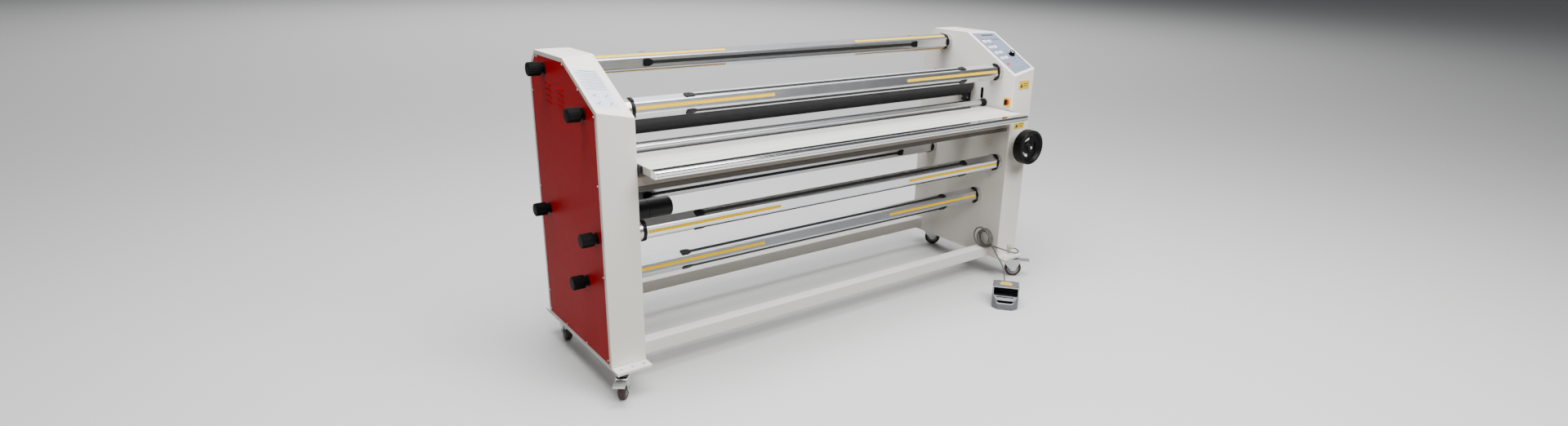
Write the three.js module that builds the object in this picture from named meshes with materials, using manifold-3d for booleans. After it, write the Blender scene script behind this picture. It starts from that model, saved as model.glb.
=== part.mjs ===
// Cold roll laminator for wide-format prints: two sheet-metal side cabinets on casters carry a pair of
// rubber pressing rollers, five film and media shafts, a feed table, a control panel and a foot switch.
// Millimetres, +Z up, +X to the operator's right, +Y towards the back. The floor is Z = 0.

import * as THREE from "three";
import { mergeVertices } from "three/addons/utils/BufferGeometryUtils.js";
import Module from "manifold-3d";

const wasm = await Module();
wasm.setup();

// ---- Driving dimensions ----

// Overall
const overallWidth = 2000; // over the outer faces of the two cabinets
const cabinetWidth = 124;
const cabinetFrontY = -300;
const cabinetRearY = 252;
const cabinetTopZ = 1082;
const touchGap = 0.3; // between neighbouring solids that touch on the real machine
const innerFaceX = overallWidth / 2 - cabinetWidth; // inner face of each cabinet
const tableTopZ = cabinetTopZ - 307; // working height
const casterWheelRadius = 37.5;
const casterHeadroom = 30; // from the wheel's top to the base plate's top
const basePlateTopZ = 2 * casterWheelRadius + casterHeadroom;

// Cabinets
const sheet = 3; // folded sheet steel
const innerWall = 6; // the plate that carries the rollers and shafts
const slopeOuterBackY = -58; // where the sloping face leaves the top, at the outer side
const slopeInnerBackY = -10;
const slopeOuterFrontZ = cabinetTopZ - 132; // where it meets the front face, at the outer side
const chamferY = cabinetRearY - 64; // rear top chamfer
const chamferZ = cabinetTopZ - 67;
const coverMargin = 15; // painted frame left around the red cover
const coverMarginBottom = 7;
const coverThickness = 2;
const coverLedge = 12;
const coverGap = 0.6;

// Base plates and crossbeams
const basePlateThickness = 10;
const basePlateFrontLip = 46;
const basePlateRearLip = 38;
const basePlateHole = 9;
const frontBeamY = cabinetFrontY + 79;
const frontBeamZ = basePlateTopZ + 10;
const rearBeamY = cabinetRearY - 39;
const rearBeamZ = basePlateTopZ + 31;
const beamSize = 48;
const beamWall = 3;
const tableBeamY = cabinetFrontY + 26;
const tableBeamDepth = 40;
const tableBeamBottomZ = tableTopZ - 90;
const tableBeamHeight = 52;

// Pressing rollers
const nipY = -38;
const lowerRollerZ = tableTopZ - 51;
const rollerRadius = 55;
const rollerRubber = 10;
const rollerCoreRadius = rollerRadius - rollerRubber;
const rollerJournalRadius = 15;
const rollerCoreWall = 6;
const rollerEndPlate = 12;
const centreHole = 3; // drilled through the end of every roller and shaft
const rollerEndGap = 16; // from the rubber's end to the cabinet wall
const nipOpening = 32; // how far the upper roller is raised
const runningGap = 0.4;
const blockWidth = 44;
const blockClearance = 11; // from the lower journal to the block when the rollers are closed
const blockBelow = 2 * rollerRadius - rollerJournalRadius - blockClearance; // below the axis
const blockAbove = 44;
const blockDepth = 36;
const blockProud = 12; // how far the block stands out of the cabinet wall

// Film and media shafts: height and depth of each axis, and how far each is turned
const shafts = [
  { name: "upper_film", y: 109, z: cabinetTopZ - 53, turn: 62 },
  { name: "front_film", y: cabinetFrontY + 97, z: cabinetTopZ - 151, turn: 13 },
  { name: "rear_media", y: cabinetRearY - 96, z: tableTopZ - 237, turn: -67 },
  { name: "front_liner", y: cabinetFrontY + 53, z: tableTopZ - 232, turn: -1 },
  { name: "lower_media", y: cabinetFrontY + 153, z: 366, turn: 13 },
];
const shaftRadius = 34;
const shaftFlatDepth = 4;
const shaftFlat = shaftRadius - shaftFlatDepth; // distance of each flat from the axis
const shaftHubRadius = shaftRadius - 1;
const shaftHubLength = 22;
const shaftCollarRadius = shaftRadius + 4;
const shaftCollarLength = 12;
const shaftJournalRadius = 10;
const shaftWall = 4;
const shaftBoreRadius = shaftFlat - shaftWall;

// Tension knobs on the left cover
const knobRadius = 23;
const knobLength = 42;
const knobNeckRadius = 15;
const knobNeckLength = 8;
const knobFlangeRadius = 19;
const knobFlangeLength = 5;
const knobStemRadius = 6;

// Idler bar in front of the nip
const idlerY = -143;
const idlerZ = tableTopZ + 15;
const idlerRadius = 12.5;
const idlerCapRadius = 17;
const idlerCapLength = 13;
const idlerPinRadius = 5;

// Feed table
const tableThickness = 26;
const tableRearY = -160;
const tableFrontY = cabinetFrontY - 68;
const tableSideGap = 10; // to the cabinet walls
const tableTraySheet = 2;
const noseDepth = 32;
const noseHeight = 25;
const hingeY = cabinetFrontY;
const hingeZ = tableTopZ - 15;
const hingePinRadius = 5;
const hingeBlockDepth = 34;
const hingeBlockHeight = 30;

// Drive motor under the table
const motorY = 60;
const motorZ = tableTopZ - 272;
const motorRadius = 39;
const motorLength = 292;
const motorJointFrom = 190; // from the cabinet wall to the joint between motor body and rear cover
const motorJointWidth = 4;
const motorJointDepth = 1.5;
const motorEdge = 4;

// Handwheel on the right front face
const wheelX = overallWidth / 2 - cabinetWidth / 2;
const wheelZ = tableTopZ - 153;
const wheelRadius = 75;
const wheelStandOff = 34; // from the cabinet's front to the rim's back
const wheelDepth = 48;
const wheelBackY = cabinetFrontY - wheelStandOff;
const wheelFrontY = wheelBackY - wheelDepth;
const wheelRim = 13;
const wheelRimEdge = 4;
const wheelHubRadius = 19;
const wheelHubRecess = 8; // hub's front behind the rim's front
const wheelWeb = 7;
const wheelWebRecess = 14; // web's back in front of the rim's back
const wheelWindow = 16; // width of each arc window
const wheelWindowSpan = 0.6; // radians to either side of its middle
const wheelShaftRadius = 9;
const wheelShaftInside = 12; // how far the shaft reaches behind the cabinet's front sheet

// Controls on the right cabinet
const overlayThickness = 1.2;
const overlayMargin = 11;
const speedKnobRadius = 14;
const speedKnobHeight = 19;
const switchY = cabinetFrontY + 28;
const switchZ = tableTopZ + 35;
const switchPlate = 38;
const switchPlateThickness = 3;
const switchGrip = [8, 22, 15]; // thickness, height and reach of the handle's grip
const switchDisc = 4;

// Casters
const casterX = overallWidth / 2 - 45;
const casterFrontY = cabinetFrontY + 2;
const casterRearY = cabinetRearY - 26;
const casterWheelWidth = 26;
const casterTrail = 30;
const casterTurn = { front_left: -126, front_right: -45, rear_left: -100, rear_right: -46 };
const casterPlate = 62;
const casterPlateThickness = 4;
const casterRaceHeight = 6;
const casterForkSheet = 3;
const casterForkGap = 3;

// Foot switch, free on the floor, turned to face the operator
const footSwitchX = 686;
const footSwitchY = -523;
const footSwitchTurn = -49.5;
const footSwitchWidth = 108;
const footSwitchLength = 136;
const footSwitchHeight = 88;
const footSwitchWall = 4;
const footHoodSetback = 45; // from the front edge of the base to the hood

// Cable of the foot switch
const cableRadius = 3;
const cableGap = 0.6; // between a cable's cut end and what it meets
const plugLength = 34;
const coilRadius = 38; // middle of the wound turns
const coilSection = 14;
const socketX = overallWidth / 2 - 45;
const socketZ = basePlateTopZ + 36;

const cabinetBottomZ = basePlateTopZ + touchGap;
const rollerHalf = innerFaceX - rollerEndGap;
const upperRollerZ = lowerRollerZ + 2 * rollerRadius + nipOpening;

// ---- Materials ----

const finish = (color, roughness, metalness = 0) =>
  new THREE.MeshStandardMaterial({ color, roughness, metalness });
const whitePaint = finish(0xdedad2, 0.45);
const redPaint = finish(0xa01a20, 0.4);
const zinc = finish(0xaab2b5, 0.35, 0.9);
const aluminium = finish(0xc3c6cb, 0.35, 0.85);
const steel = finish(0x8d9093, 0.3, 0.95);
const blackPlastic = finish(0x1b1b1c, 0.55);
const greyRubber = finish(0x3c3b3b, 0.8);
const tyreRubber = finish(0x3a2a29, 0.7);
const cableSheath = finish(0x68655f, 0.6);
const overlayFilm = finish(0xb4bac4, 0.4);
const yellowPlastic = finish(0xe3ae1f, 0.45);
const beigePlastic = finish(0xcdc7b2, 0.5);
const castGrey = finish(0x74767c, 0.5, 0.3);

// ---- Shape helpers ----

// A closed three.js geometry as a manifold solid, and back.
function solid(geometry) {
  const bare = geometry.clone();
  bare.deleteAttribute("normal");
  bare.deleteAttribute("uv");
  const merged = mergeVertices(bare, 1e-4);
  return new wasm.Manifold(
    new wasm.Mesh({
      numProp: 3,
      vertProperties: merged.attributes.position.array,
      triVerts: new Uint32Array(merged.index.array),
    }),
  );
}

function surface(body) {
  const mesh = body.getMesh();
  const geometry = new THREE.BufferGeometry();
  geometry.setAttribute("position", new THREE.BufferAttribute(mesh.vertProperties, 3));
  geometry.setIndex(new THREE.BufferAttribute(mesh.triVerts, 1));
  const faceted = geometry.toNonIndexed();
  faceted.computeVertexNormals();
  return faceted;
}

const join = (first, ...rest) => rest.reduce((whole, piece) => whole.add(piece), first);
const cut = (first, ...rest) => rest.reduce((whole, piece) => whole.subtract(piece), first);

// A box from its two ends along each axis.
function box([x0, x1], [y0, y1], [z0, z1]) {
  const geometry = new THREE.BoxGeometry(x1 - x0, y1 - y0, z1 - z0);
  geometry.translate((x0 + x1) / 2, (y0 + y1) / 2, (z0 + z1) / 2);
  return solid(geometry);
}

// Turns a body that was built along +Z so that it points along another axis.
const alongAxis = {
  x: (geometry) => geometry.rotateY(Math.PI / 2),
  y: (geometry) => geometry.rotateX(-Math.PI / 2),
  z: (geometry) => geometry,
};

// A body of revolution: the profile is [radius, distance along the axis] pairs, closed on the axis.
function turned(profile, axis, centre, segments = 24) {
  const points = profile.map(([radius, along]) => new THREE.Vector2(radius, along));
  const geometry = new THREE.LatheGeometry(points, segments);
  geometry.rotateX(Math.PI / 2);
  alongAxis[axis](geometry);
  geometry.translate(...centre);
  return solid(geometry);
}

// A plain round rod between two distances along its axis.
const rod = (radius, from, to, axis, centre, segments = 20) =>
  turned([[0, from], [radius, from], [radius, to], [0, to]], axis, centre, segments);

// An outline of [a, b] points extruded by a length; the result still lies in its own a-b plane.
function extrusion(points, length, bevel = 0) {
  const shape = new THREE.Shape(points.map(([a, b]) => new THREE.Vector2(a, b)));
  return new THREE.ExtrudeGeometry(shape, {
    depth: length - 2 * bevel,
    bevelEnabled: bevel > 0,
    bevelThickness: bevel,
    bevelSize: bevel,
    bevelOffset: -bevel,
    bevelSegments: 1,
  }).translate(0, 0, bevel);
}

// An outline in the Y-Z plane extruded along X from x0 to x1.
function alongX(points, x0, x1) {
  const geometry = extrusion(points, x1 - x0);
  geometry.rotateZ(Math.PI / 2);
  geometry.rotateY(Math.PI / 2);
  geometry.translate(x0, 0, 0);
  return solid(geometry);
}

// A square-cornered tube along X.
function boxTube(halfLength, y, z, depth, height, wall) {
  const ends = [-halfLength, halfLength];
  const over = [-halfLength - 1, halfLength + 1];
  return cut(
    box(ends, [y - depth / 2, y + depth / 2], [z, z + height]),
    box(over, [y - depth / 2 + wall, y + depth / 2 - wall], [z + wall, z + height - wall]),
  );
}

// A round tube swept along a curve.
function sweptTube(curve, radius, sides, steps) {
  const section = new THREE.Shape(
    Array.from({ length: sides }, (_, k) => {
      const angle = (2 * Math.PI * k) / sides;
      return new THREE.Vector2(radius * Math.cos(angle), radius * Math.sin(angle));
    }),
  );
  return new THREE.ExtrudeGeometry(section, { steps, bevelEnabled: false, extrudePath: curve });
}

// Moves each edge of a convex outline inwards by its own distance.
function inset(points, distances) {
  const count = points.length;
  const edges = points.map((p, k) => {
    const q = points[(k + 1) % count];
    const length = Math.hypot(q[0] - p[0], q[1] - p[1]);
    const along = [(q[0] - p[0]) / length, (q[1] - p[1]) / length];
    const inward = [-along[1], along[0]];
    return { start: [p[0] + inward[0] * distances[k], p[1] + inward[1] * distances[k]], along };
  });
  return edges.map((edge, k) => {
    const before = edges[(k + count - 1) % count];
    const dy = edge.start[0] - before.start[0];
    const dz = edge.start[1] - before.start[1];
    const cross = before.along[0] * edge.along[1] - before.along[1] * edge.along[0];
    const t = (dy * edge.along[1] - dz * edge.along[0]) / cross;
    return [before.start[0] + before.along[0] * t, before.start[1] + before.along[1] * t];
  });
}

// ---- The group and its meshes ----

const machine = new THREE.Group();

function add(name, body, material, parent = machine) {
  const geometry = body.isBufferGeometry ? body : surface(body);
  const mesh = new THREE.Mesh(geometry, material);
  mesh.name = name;
  parent.add(mesh);
  return mesh;
}

const mirrored = (body, side) => (side > 0 ? body : body.mirror([1, 0, 0]));

// ---- Side cabinets ----
// Both are drawn on the right (+X) and mirrored for the left. The side outline runs counter-clockwise in
// the Y-Z plane, and the sloping face is a plane that also leans inwards, towards the operator.

const sideOutline = [
  [cabinetFrontY, cabinetBottomZ],
  [cabinetRearY, cabinetBottomZ],
  [cabinetRearY, chamferZ],
  [chamferY, cabinetTopZ],
  [cabinetFrontY, cabinetTopZ],
];
const slopeCorner = new THREE.Vector3(overallWidth / 2, slopeOuterBackY, cabinetTopZ);
const slope = new THREE.Plane().setFromCoplanarPoints(
  slopeCorner,
  new THREE.Vector3(innerFaceX, slopeInnerBackY, cabinetTopZ),
  new THREE.Vector3(overallWidth / 2, cabinetFrontY, slopeOuterFrontZ),
);
if (slope.normal.z < 0) slope.negate();
const slopeFrame = new THREE.Quaternion().setFromUnitVectors(new THREE.Vector3(0, 0, 1), slope.normal);

// Everything above the sloping face, moved down by a distance.
function aboveSlope(depth) {
  const reach = 2 * cabinetTopZ;
  const geometry = new THREE.BoxGeometry(reach, reach, reach).translate(0, 0, reach / 2);
  geometry.applyQuaternion(slopeFrame);
  const onPlane = slopeCorner.clone().addScaledVector(slope.normal, -depth);
  geometry.translate(onPlane.x, onPlane.y, onPlane.z);
  return solid(geometry);
}

// The cabinet's outer form, shrunk by a distance on each edge, between two places along X.
function cabinetForm(distance, bottomDistance, x0, x1) {
  const distances = [bottomDistance, distance, distance, distance, distance];
  return cut(alongX(inset(sideOutline, distances), x0, x1), aboveSlope(distance));
}

const outerFaceX = overallWidth / 2;
const ledgeX = outerFaceX - coverThickness - touchGap;
const blockSlotBottom = upperRollerZ - nipOpening - blockBelow - 2;
const blockSlotTop = upperRollerZ + blockAbove + 2;

function sideFrame(side) {
  const through = [innerFaceX - 1, innerFaceX + innerWall + 1];
  const ledgeInset = coverMargin + coverLedge;
  const ledgeInsetBottom = coverMarginBottom + coverLedge;
  const slotHalf = blockWidth / 2 + touchGap;
  let body = cabinetForm(0, 0, innerFaceX, outerFaceX);
  body = cut(
    body,
    cabinetForm(coverMargin, coverMarginBottom, ledgeX, outerFaceX + 1),
    cabinetForm(sheet, sheet, innerFaceX + innerWall, ledgeX - sheet),
    cabinetForm(ledgeInset, ledgeInsetBottom, ledgeX - sheet - 1, ledgeX + 1),
    box(through, [nipY - slotHalf, nipY + slotHalf], [blockSlotBottom, blockSlotTop]),
    rod(rollerJournalRadius + runningGap, ...through, "x", [0, nipY, lowerRollerZ]),
    rod(idlerPinRadius + runningGap, ...through, "x", [0, idlerY, idlerZ], 12),
  );
  for (const shaft of shafts)
    body = cut(body, rod(shaftJournalRadius + runningGap, ...through, "x", [0, shaft.y, shaft.z]));
  if (side > 0) {
    const wheelBore = [cabinetFrontY - 1, cabinetFrontY + sheet + 1];
    body = cut(body, rod(wheelShaftRadius + runningGap, ...wheelBore, "y", [wheelX, 0, wheelZ]));
  }
  return mirrored(body, side);
}

function sideCover(side) {
  const edge = coverMargin + coverGap;
  const bottomEdge = coverMarginBottom + coverGap;
  let body = cabinetForm(edge, bottomEdge, ledgeX + touchGap, outerFaceX);
  if (side < 0) {
    const through = [ledgeX, outerFaceX + 1];
    for (const shaft of shafts)
      body = cut(body, rod(knobStemRadius + runningGap, ...through, "x", [0, shaft.y, shaft.z], 12));
  }
  return mirrored(body, side);
}

// A flat plate under each cabinet, which the casters bolt to.
function basePlate(side) {
  const y0 = cabinetFrontY - basePlateFrontLip;
  const y1 = cabinetRearY + basePlateRearLip;
  const z = [basePlateTopZ - basePlateThickness, basePlateTopZ];
  let body = box([innerFaceX, outerFaceX], [y0, y1], z);
  const holeY = cabinetFrontY - basePlateFrontLip / 2;
  for (const x of [innerFaceX + 20, (innerFaceX + outerFaceX) / 2, outerFaceX - 22])
    body = cut(body, rod(basePlateHole / 2, z[0] - 1, z[1] + 1, "z", [x, holeY, 0], 16));
  return mirrored(body, side);
}

for (const [label, side] of [["left", -1], ["right", 1]]) {
  add(`${label}_side_frame`, sideFrame(side), whitePaint);
  add(`${label}_cover`, sideCover(side), redPaint);
  add(`${label}_base_plate`, basePlate(side), whitePaint);
}

// ---- Crossbeams: square tubes between the cabinets, and the beam that the table rests on ----

const beamHalf = innerFaceX - touchGap;
const frontBeam = boxTube(beamHalf, frontBeamY, frontBeamZ - beamSize / 2, beamSize, beamSize, beamWall);
const rearBeam = boxTube(beamHalf, rearBeamY, rearBeamZ - beamSize / 2, beamSize, beamSize, beamWall);
const tableBeam = boxTube(
  beamHalf, tableBeamY, tableBeamBottomZ, tableBeamDepth, tableBeamHeight, beamWall,
);
add("front_crossbeam", frontBeam, whitePaint);
add("rear_crossbeam", rearBeam, whitePaint);
add("table_beam", tableBeam, whitePaint);

// ---- Pressing rollers: a steel core with journals inside a rubber sleeve ----

function rollerCore(z) {
  const journalEnd = innerFaceX + innerWall + 8;
  const end = rollerHalf + touchGap;
  const profile = [
    [0, -journalEnd],
    [rollerJournalRadius, -journalEnd],
    [rollerJournalRadius, -end],
    [rollerCoreRadius, -end],
    [rollerCoreRadius, end],
    [rollerJournalRadius, end],
    [rollerJournalRadius, journalEnd],
    [0, journalEnd],
  ];
  const cavity = rollerHalf - rollerEndPlate;
  return cut(
    turned(profile, "x", [0, nipY, z], 28),
    rod(rollerCoreRadius - rollerCoreWall, -cavity, cavity, "x", [0, nipY, z], 20),
    rod(centreHole, -journalEnd - 1, journalEnd + 1, "x", [0, nipY, z], 8),
  );
}

function rollerSleeve(z) {
  const inner = rollerCoreRadius + touchGap;
  return cut(
    rod(rollerRadius, -rollerHalf, rollerHalf, "x", [0, nipY, z], 40),
    rod(inner, -rollerHalf - 1, rollerHalf + 1, "x", [0, nipY, z], 28),
  );
}

add("lower_roller_core", rollerCore(lowerRollerZ), steel);
add("lower_roller_rubber", rollerSleeve(lowerRollerZ), greyRubber);
add("upper_roller_core", rollerCore(upperRollerZ), steel);
add("upper_roller_rubber", rollerSleeve(upperRollerZ), greyRubber);

// Each end of the upper roller runs in a block that slides up and down in a slot of the cabinet wall.
function bearingBlock(side) {
  const x = [innerFaceX - blockProud, innerFaceX - blockProud + blockDepth];
  const z = [upperRollerZ - blockBelow, upperRollerZ + blockAbove];
  const bore = [x[0] - 1, x[1] + 1];
  const body = cut(
    box(x, [nipY - blockWidth / 2, nipY + blockWidth / 2], z),
    rod(rollerJournalRadius + runningGap, ...bore, "x", [0, nipY, upperRollerZ]),
  );
  return mirrored(body, side);
}
add("left_bearing_block", bearingBlock(-1), blackPlastic);
add("right_bearing_block", bearingBlock(1), blackPlastic);

// ---- Shafts: aluminium extrusions with three flats, gripping collars and round hubs ----

function shaftOutline() {
  const halfFlat = Math.acos(shaftFlat / shaftRadius);
  const points = [];
  for (let lobe = 0; lobe < 3; lobe += 1) {
    const from = (2 * Math.PI * lobe) / 3 + halfFlat;
    const to = (2 * Math.PI * (lobe + 1)) / 3 - halfFlat;
    for (let k = 0; k <= 4; k += 1) {
      const angle = from + ((to - from) * k) / 4;
      points.push([shaftRadius * Math.cos(angle), shaftRadius * Math.sin(angle)]);
    }
  }
  return points;
}

function shaftBody() {
  const bodyEnd = innerFaceX - touchGap - shaftHubLength - shaftCollarLength;
  const collarEnd = bodyEnd + shaftCollarLength;
  const hubEnd = innerFaceX - touchGap;
  const journalEnd = innerFaceX + innerWall - 1;
  const overlap = 1;
  let body = alongX(shaftOutline(), -bodyEnd - overlap, bodyEnd + overlap);
  for (const side of [-1, 1]) {
    const end = join(
      rod(shaftCollarRadius, bodyEnd, collarEnd, "x", [0, 0, 0], 16),
      rod(shaftHubRadius, collarEnd - overlap, hubEnd, "x", [0, 0, 0], 16),
      rod(shaftJournalRadius, hubEnd - overlap, journalEnd, "x", [0, 0, 0], 12),
    );
    body = join(body, mirrored(end, side));
  }
  body = cut(
    body,
    rod(shaftBoreRadius, -bodyEnd, bodyEnd, "x", [0, 0, 0], 16),
    rod(centreHole, -journalEnd - 1, journalEnd + 1, "x", [0, 0, 0], 8),
  );
  return surface(body);
}

const shaftGeometry = shaftBody();
for (const { name, y, z, turn } of shafts) {
  const mesh = add(`${name}_shaft`, shaftGeometry.clone(), aluminium);
  mesh.position.set(0, y, z);
  // The flats sit midway between the ruler faces; a ruler face at 0 degrees looks along -Y.
  mesh.rotation.x = Math.PI - THREE.MathUtils.degToRad(turn + 60);
}

// Tension knob: a ribbed black grip on a stem that reaches through the cover to the cabinet wall.
function tensionKnob() {
  const ribs = 11;
  const faceX = outerFaceX + touchGap;
  const neckX = faceX + knobFlangeLength;
  const gripX = neckX + knobNeckLength;
  const edge = 3;
  const base = turned(
    [
      [0, innerFaceX + innerWall + touchGap],
      [knobStemRadius, innerFaceX + innerWall + touchGap],
      [knobStemRadius, faceX],
      [knobFlangeRadius, faceX],
      [knobFlangeRadius, neckX],
      [knobNeckRadius, neckX],
      [knobNeckRadius, gripX + 1],
      [0, gripX + 1],
    ],
    "x", [0, 0, 0], 14,
  );
  const outline = Array.from({ length: 2 * ribs }, (_, k) => {
    const angle = (Math.PI * k) / ribs;
    const radius = k % 2 ? knobRadius - 1.2 : knobRadius;
    return [radius * Math.cos(angle), radius * Math.sin(angle)];
  });
  const grip = extrusion(outline, knobLength, edge);
  grip.rotateY(Math.PI / 2);
  grip.translate(gripX, 0, 0);
  return surface(mirrored(join(base, solid(grip)), -1));
}

const knobGeometry = tensionKnob();
for (const { name, y, z } of shafts) {
  const mesh = add(`${name}_tension_knob`, knobGeometry.clone(), blackPlastic);
  mesh.position.set(0, y, z);
}

// ---- Idler bar, with a black cap at each end ----

const idlerCapInner = innerFaceX - touchGap - idlerCapLength;
const idlerHalf = idlerCapInner - touchGap;
const idlerBar = rod(idlerRadius, -idlerHalf, idlerHalf, "x", [0, idlerY, idlerZ]);
add("idler_bar", idlerBar, aluminium);
for (const [label, side] of [["left", -1], ["right", 1]]) {
  const cap = join(
    rod(idlerCapRadius, idlerCapInner, innerFaceX - touchGap, "x", [0, idlerY, idlerZ]),
    rod(idlerPinRadius, innerFaceX - 2, innerFaceX + innerWall - 1, "x", [0, idlerY, idlerZ], 12),
  );
  add(`${label}_idler_cap`, mirrored(cap, side), blackPlastic);
}

// ---- Feed table: a folded tray with a rounded nose, hung on a pin at each end so that it swings down ----

const tableHalf = innerFaceX - tableSideGap;
const tableBottomZ = tableTopZ - tableThickness;

function tableTray() {
  const over = [-tableHalf + tableTraySheet, tableHalf - tableTraySheet];
  const inner = [tableFrontY + tableTraySheet, tableRearY - tableTraySheet];
  const pinBore = [tableHalf - tableTraySheet - 1, tableHalf + 1];
  const bore = rod(hingePinRadius + runningGap, ...pinBore, "x", [0, hingeY, hingeZ], 16);
  return cut(
    box([-tableHalf, tableHalf], [tableFrontY, tableRearY], [tableBottomZ, tableTopZ]),
    box(over, inner, [tableBottomZ - 1, tableTopZ - tableTraySheet]),
    bore,
    mirrored(bore, -1),
  );
}

function tableNose() {
  const frontY = tableFrontY - noseDepth;
  const radius = noseHeight / 2;
  const centreZ = tableTopZ - 1 - radius;
  const arc = Array.from({ length: 9 }, (_, k) => {
    const angle = Math.PI / 2 + (Math.PI * k) / 8;
    return [frontY + radius + radius * Math.cos(angle), centreZ + radius * Math.sin(angle)];
  });
  const back = tableFrontY - touchGap;
  const outline = [...arc, [back, centreZ - radius], [back, centreZ + radius]];
  return alongX(outline, -tableHalf, tableHalf);
}

add("feed_table_tray", tableTray(), whitePaint);
add("feed_table_nose", tableNose(), aluminium);
for (const [label, side] of [["left", -1], ["right", 1]]) {
  const blockX = [tableHalf + touchGap + 1, innerFaceX - touchGap];
  const hinge = join(
    box(
      blockX,
      [hingeY, hingeY + hingeBlockDepth],
      [hingeZ - hingeBlockHeight / 2, hingeZ + hingeBlockHeight / 2],
    ),
    rod(hingeBlockHeight / 2, ...blockX, "x", [0, hingeY, hingeZ], 24),
    rod(hingePinRadius, tableHalf - tableTraySheet - 4, blockX[0] + 1, "x", [0, hingeY, hingeZ], 16),
  );
  add(`${label}_table_hinge`, mirrored(hinge, side), blackPlastic);
}

// ---- Drive motor, flange-mounted on the left cabinet's inner wall ----

const motorWallX = -innerFaceX + touchGap;
const motorJointX = motorWallX + motorJointFrom - motorJointWidth / 2;
const motorProfile = [
  [0, motorWallX],
  [motorRadius, motorWallX],
  [motorRadius, motorJointX],
  [motorRadius - motorJointDepth, motorJointX],
  [motorRadius - motorJointDepth, motorJointX + motorJointWidth],
  [motorRadius, motorJointX + motorJointWidth],
  [motorRadius, motorWallX + motorLength - motorEdge],
  [motorRadius - motorEdge, motorWallX + motorLength],
  [0, motorWallX + motorLength],
];
add("drive_motor", turned(motorProfile, "x", [0, motorY, motorZ], 24), blackPlastic);

// ---- Handwheel that raises and lowers the upper roller, on a shaft into the right cabinet ----

function handwheel() {
  const webY = wheelBackY - wheelWebRecess;
  const web = wheelWeb;
  const hub = wheelHubRadius;
  const hubFrontY = wheelFrontY + wheelHubRecess;
  const inside = wheelRadius - wheelRim;
  const rimEdge = wheelRimEdge;
  const shaftEndY = cabinetFrontY + sheet + wheelShaftInside;
  // Measured along +Y from the wheel's front; the web dishes back from rim to hub.
  const profile = [
    [0, hubFrontY],
    [hub - 3, hubFrontY],
    [hub, hubFrontY + 3],
    [hub, webY - web],
    [inside, webY - web - 4],
    [inside, wheelFrontY + rimEdge],
    [inside + rimEdge, wheelFrontY],
    [wheelRadius - rimEdge, wheelFrontY],
    [wheelRadius, wheelFrontY + rimEdge],
    [wheelRadius, wheelBackY - rimEdge],
    [wheelRadius - rimEdge, wheelBackY],
    [inside, wheelBackY],
    [inside - 3, webY - 2],
    [hub, webY],
    [hub, wheelBackY + 4],
    [wheelShaftRadius, wheelBackY + 4],
    [wheelShaftRadius, shaftEndY],
    [0, shaftEndY],
  ];
  let body = turned(profile, "y", [wheelX, 0, wheelZ], 28);
  const windowRadius = (hub + inside) / 2 - rimEdge;
  const windowHalf = wheelWindow / 2;
  const span = wheelWindowSpan;
  for (let k = 0; k < 3; k += 1) {
    const middle = Math.PI / 2 + 0.5 + (2 * Math.PI * k) / 3;
    const arc = (radius, from, to) =>
      Array.from({ length: 5 }, (_, n) => {
        const angle = middle + from + ((to - from) * n) / 4;
        return [radius * Math.cos(angle), radius * Math.sin(angle)];
      });
    const outline = [
      ...arc(windowRadius + windowHalf, -span, span),
      ...arc(windowRadius - windowHalf, span, -span),
    ];
    const window = extrusion(outline, 2 * wheelDepth);
    window.rotateX(-Math.PI / 2);
    window.translate(wheelX, webY - wheelDepth, wheelZ);
    body = cut(body, solid(window));
  }
  return body;
}
add("handwheel", handwheel(), blackPlastic);

// ---- Control panel on the right slope, with its speed knob ----
// The overlay follows the four edges of the sloping face, inside a margin.

function slopePoint(across, along) {
  const outerBack = new THREE.Vector3(outerFaceX, slopeOuterBackY, cabinetTopZ);
  const innerBack = new THREE.Vector3(innerFaceX, slopeInnerBackY, cabinetTopZ);
  const outerFront = new THREE.Vector3(outerFaceX, cabinetFrontY, slopeOuterFrontZ);
  const innerFront = new THREE.Vector3(innerFaceX, cabinetFrontY, 0);
  const { normal, constant } = slope;
  innerFront.z = -(constant + normal.x * innerFaceX + normal.y * cabinetFrontY) / normal.z;
  const back = innerBack.lerp(outerBack, across);
  return back.lerp(innerFront.lerp(outerFront, across), along);
}

function controlOverlay() {
  const lift = slope.normal.clone().multiplyScalar(touchGap);
  const toFlat = slopeFrame.clone().invert();
  const a = overlayMargin / cabinetWidth;
  const b = overlayMargin / (cabinetFrontY - slopeOuterBackY);
  const corners = [[a, -b], [1 - a, -b], [1 - a, 1 + b], [a, 1 + b]];
  const flat = corners.map(([u, v]) => slopePoint(u, v).applyQuaternion(toFlat));
  const geometry = extrusion(flat.reverse().map((p) => [p.x, p.y]), overlayThickness);
  geometry.translate(0, 0, flat[0].z);
  geometry.applyQuaternion(slopeFrame);
  geometry.translate(lift.x, lift.y, lift.z);
  return solid(geometry);
}
add("control_overlay", controlOverlay(), overlayFilm);

const knobAt = slopePoint(0.7, 0.6).addScaledVector(slope.normal, overlayThickness + 2 * touchGap);
const speedKnobProfile = [
  [0, 0],
  [speedKnobRadius, 0],
  [speedKnobRadius - 1, 6],
  [speedKnobRadius - 4, 8],
  [speedKnobRadius - 5, speedKnobHeight - 1],
  [speedKnobRadius - 6, speedKnobHeight],
  [0, speedKnobHeight],
];
const speedKnob = add(
  "speed_knob",
  surface(turned(speedKnobProfile, "z", [0, 0, 0], 24)),
  blackPlastic,
);
speedKnob.position.copy(knobAt);
speedKnob.quaternion.copy(slopeFrame);

// ---- Rotary power switch on the right inner wall ----

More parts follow.
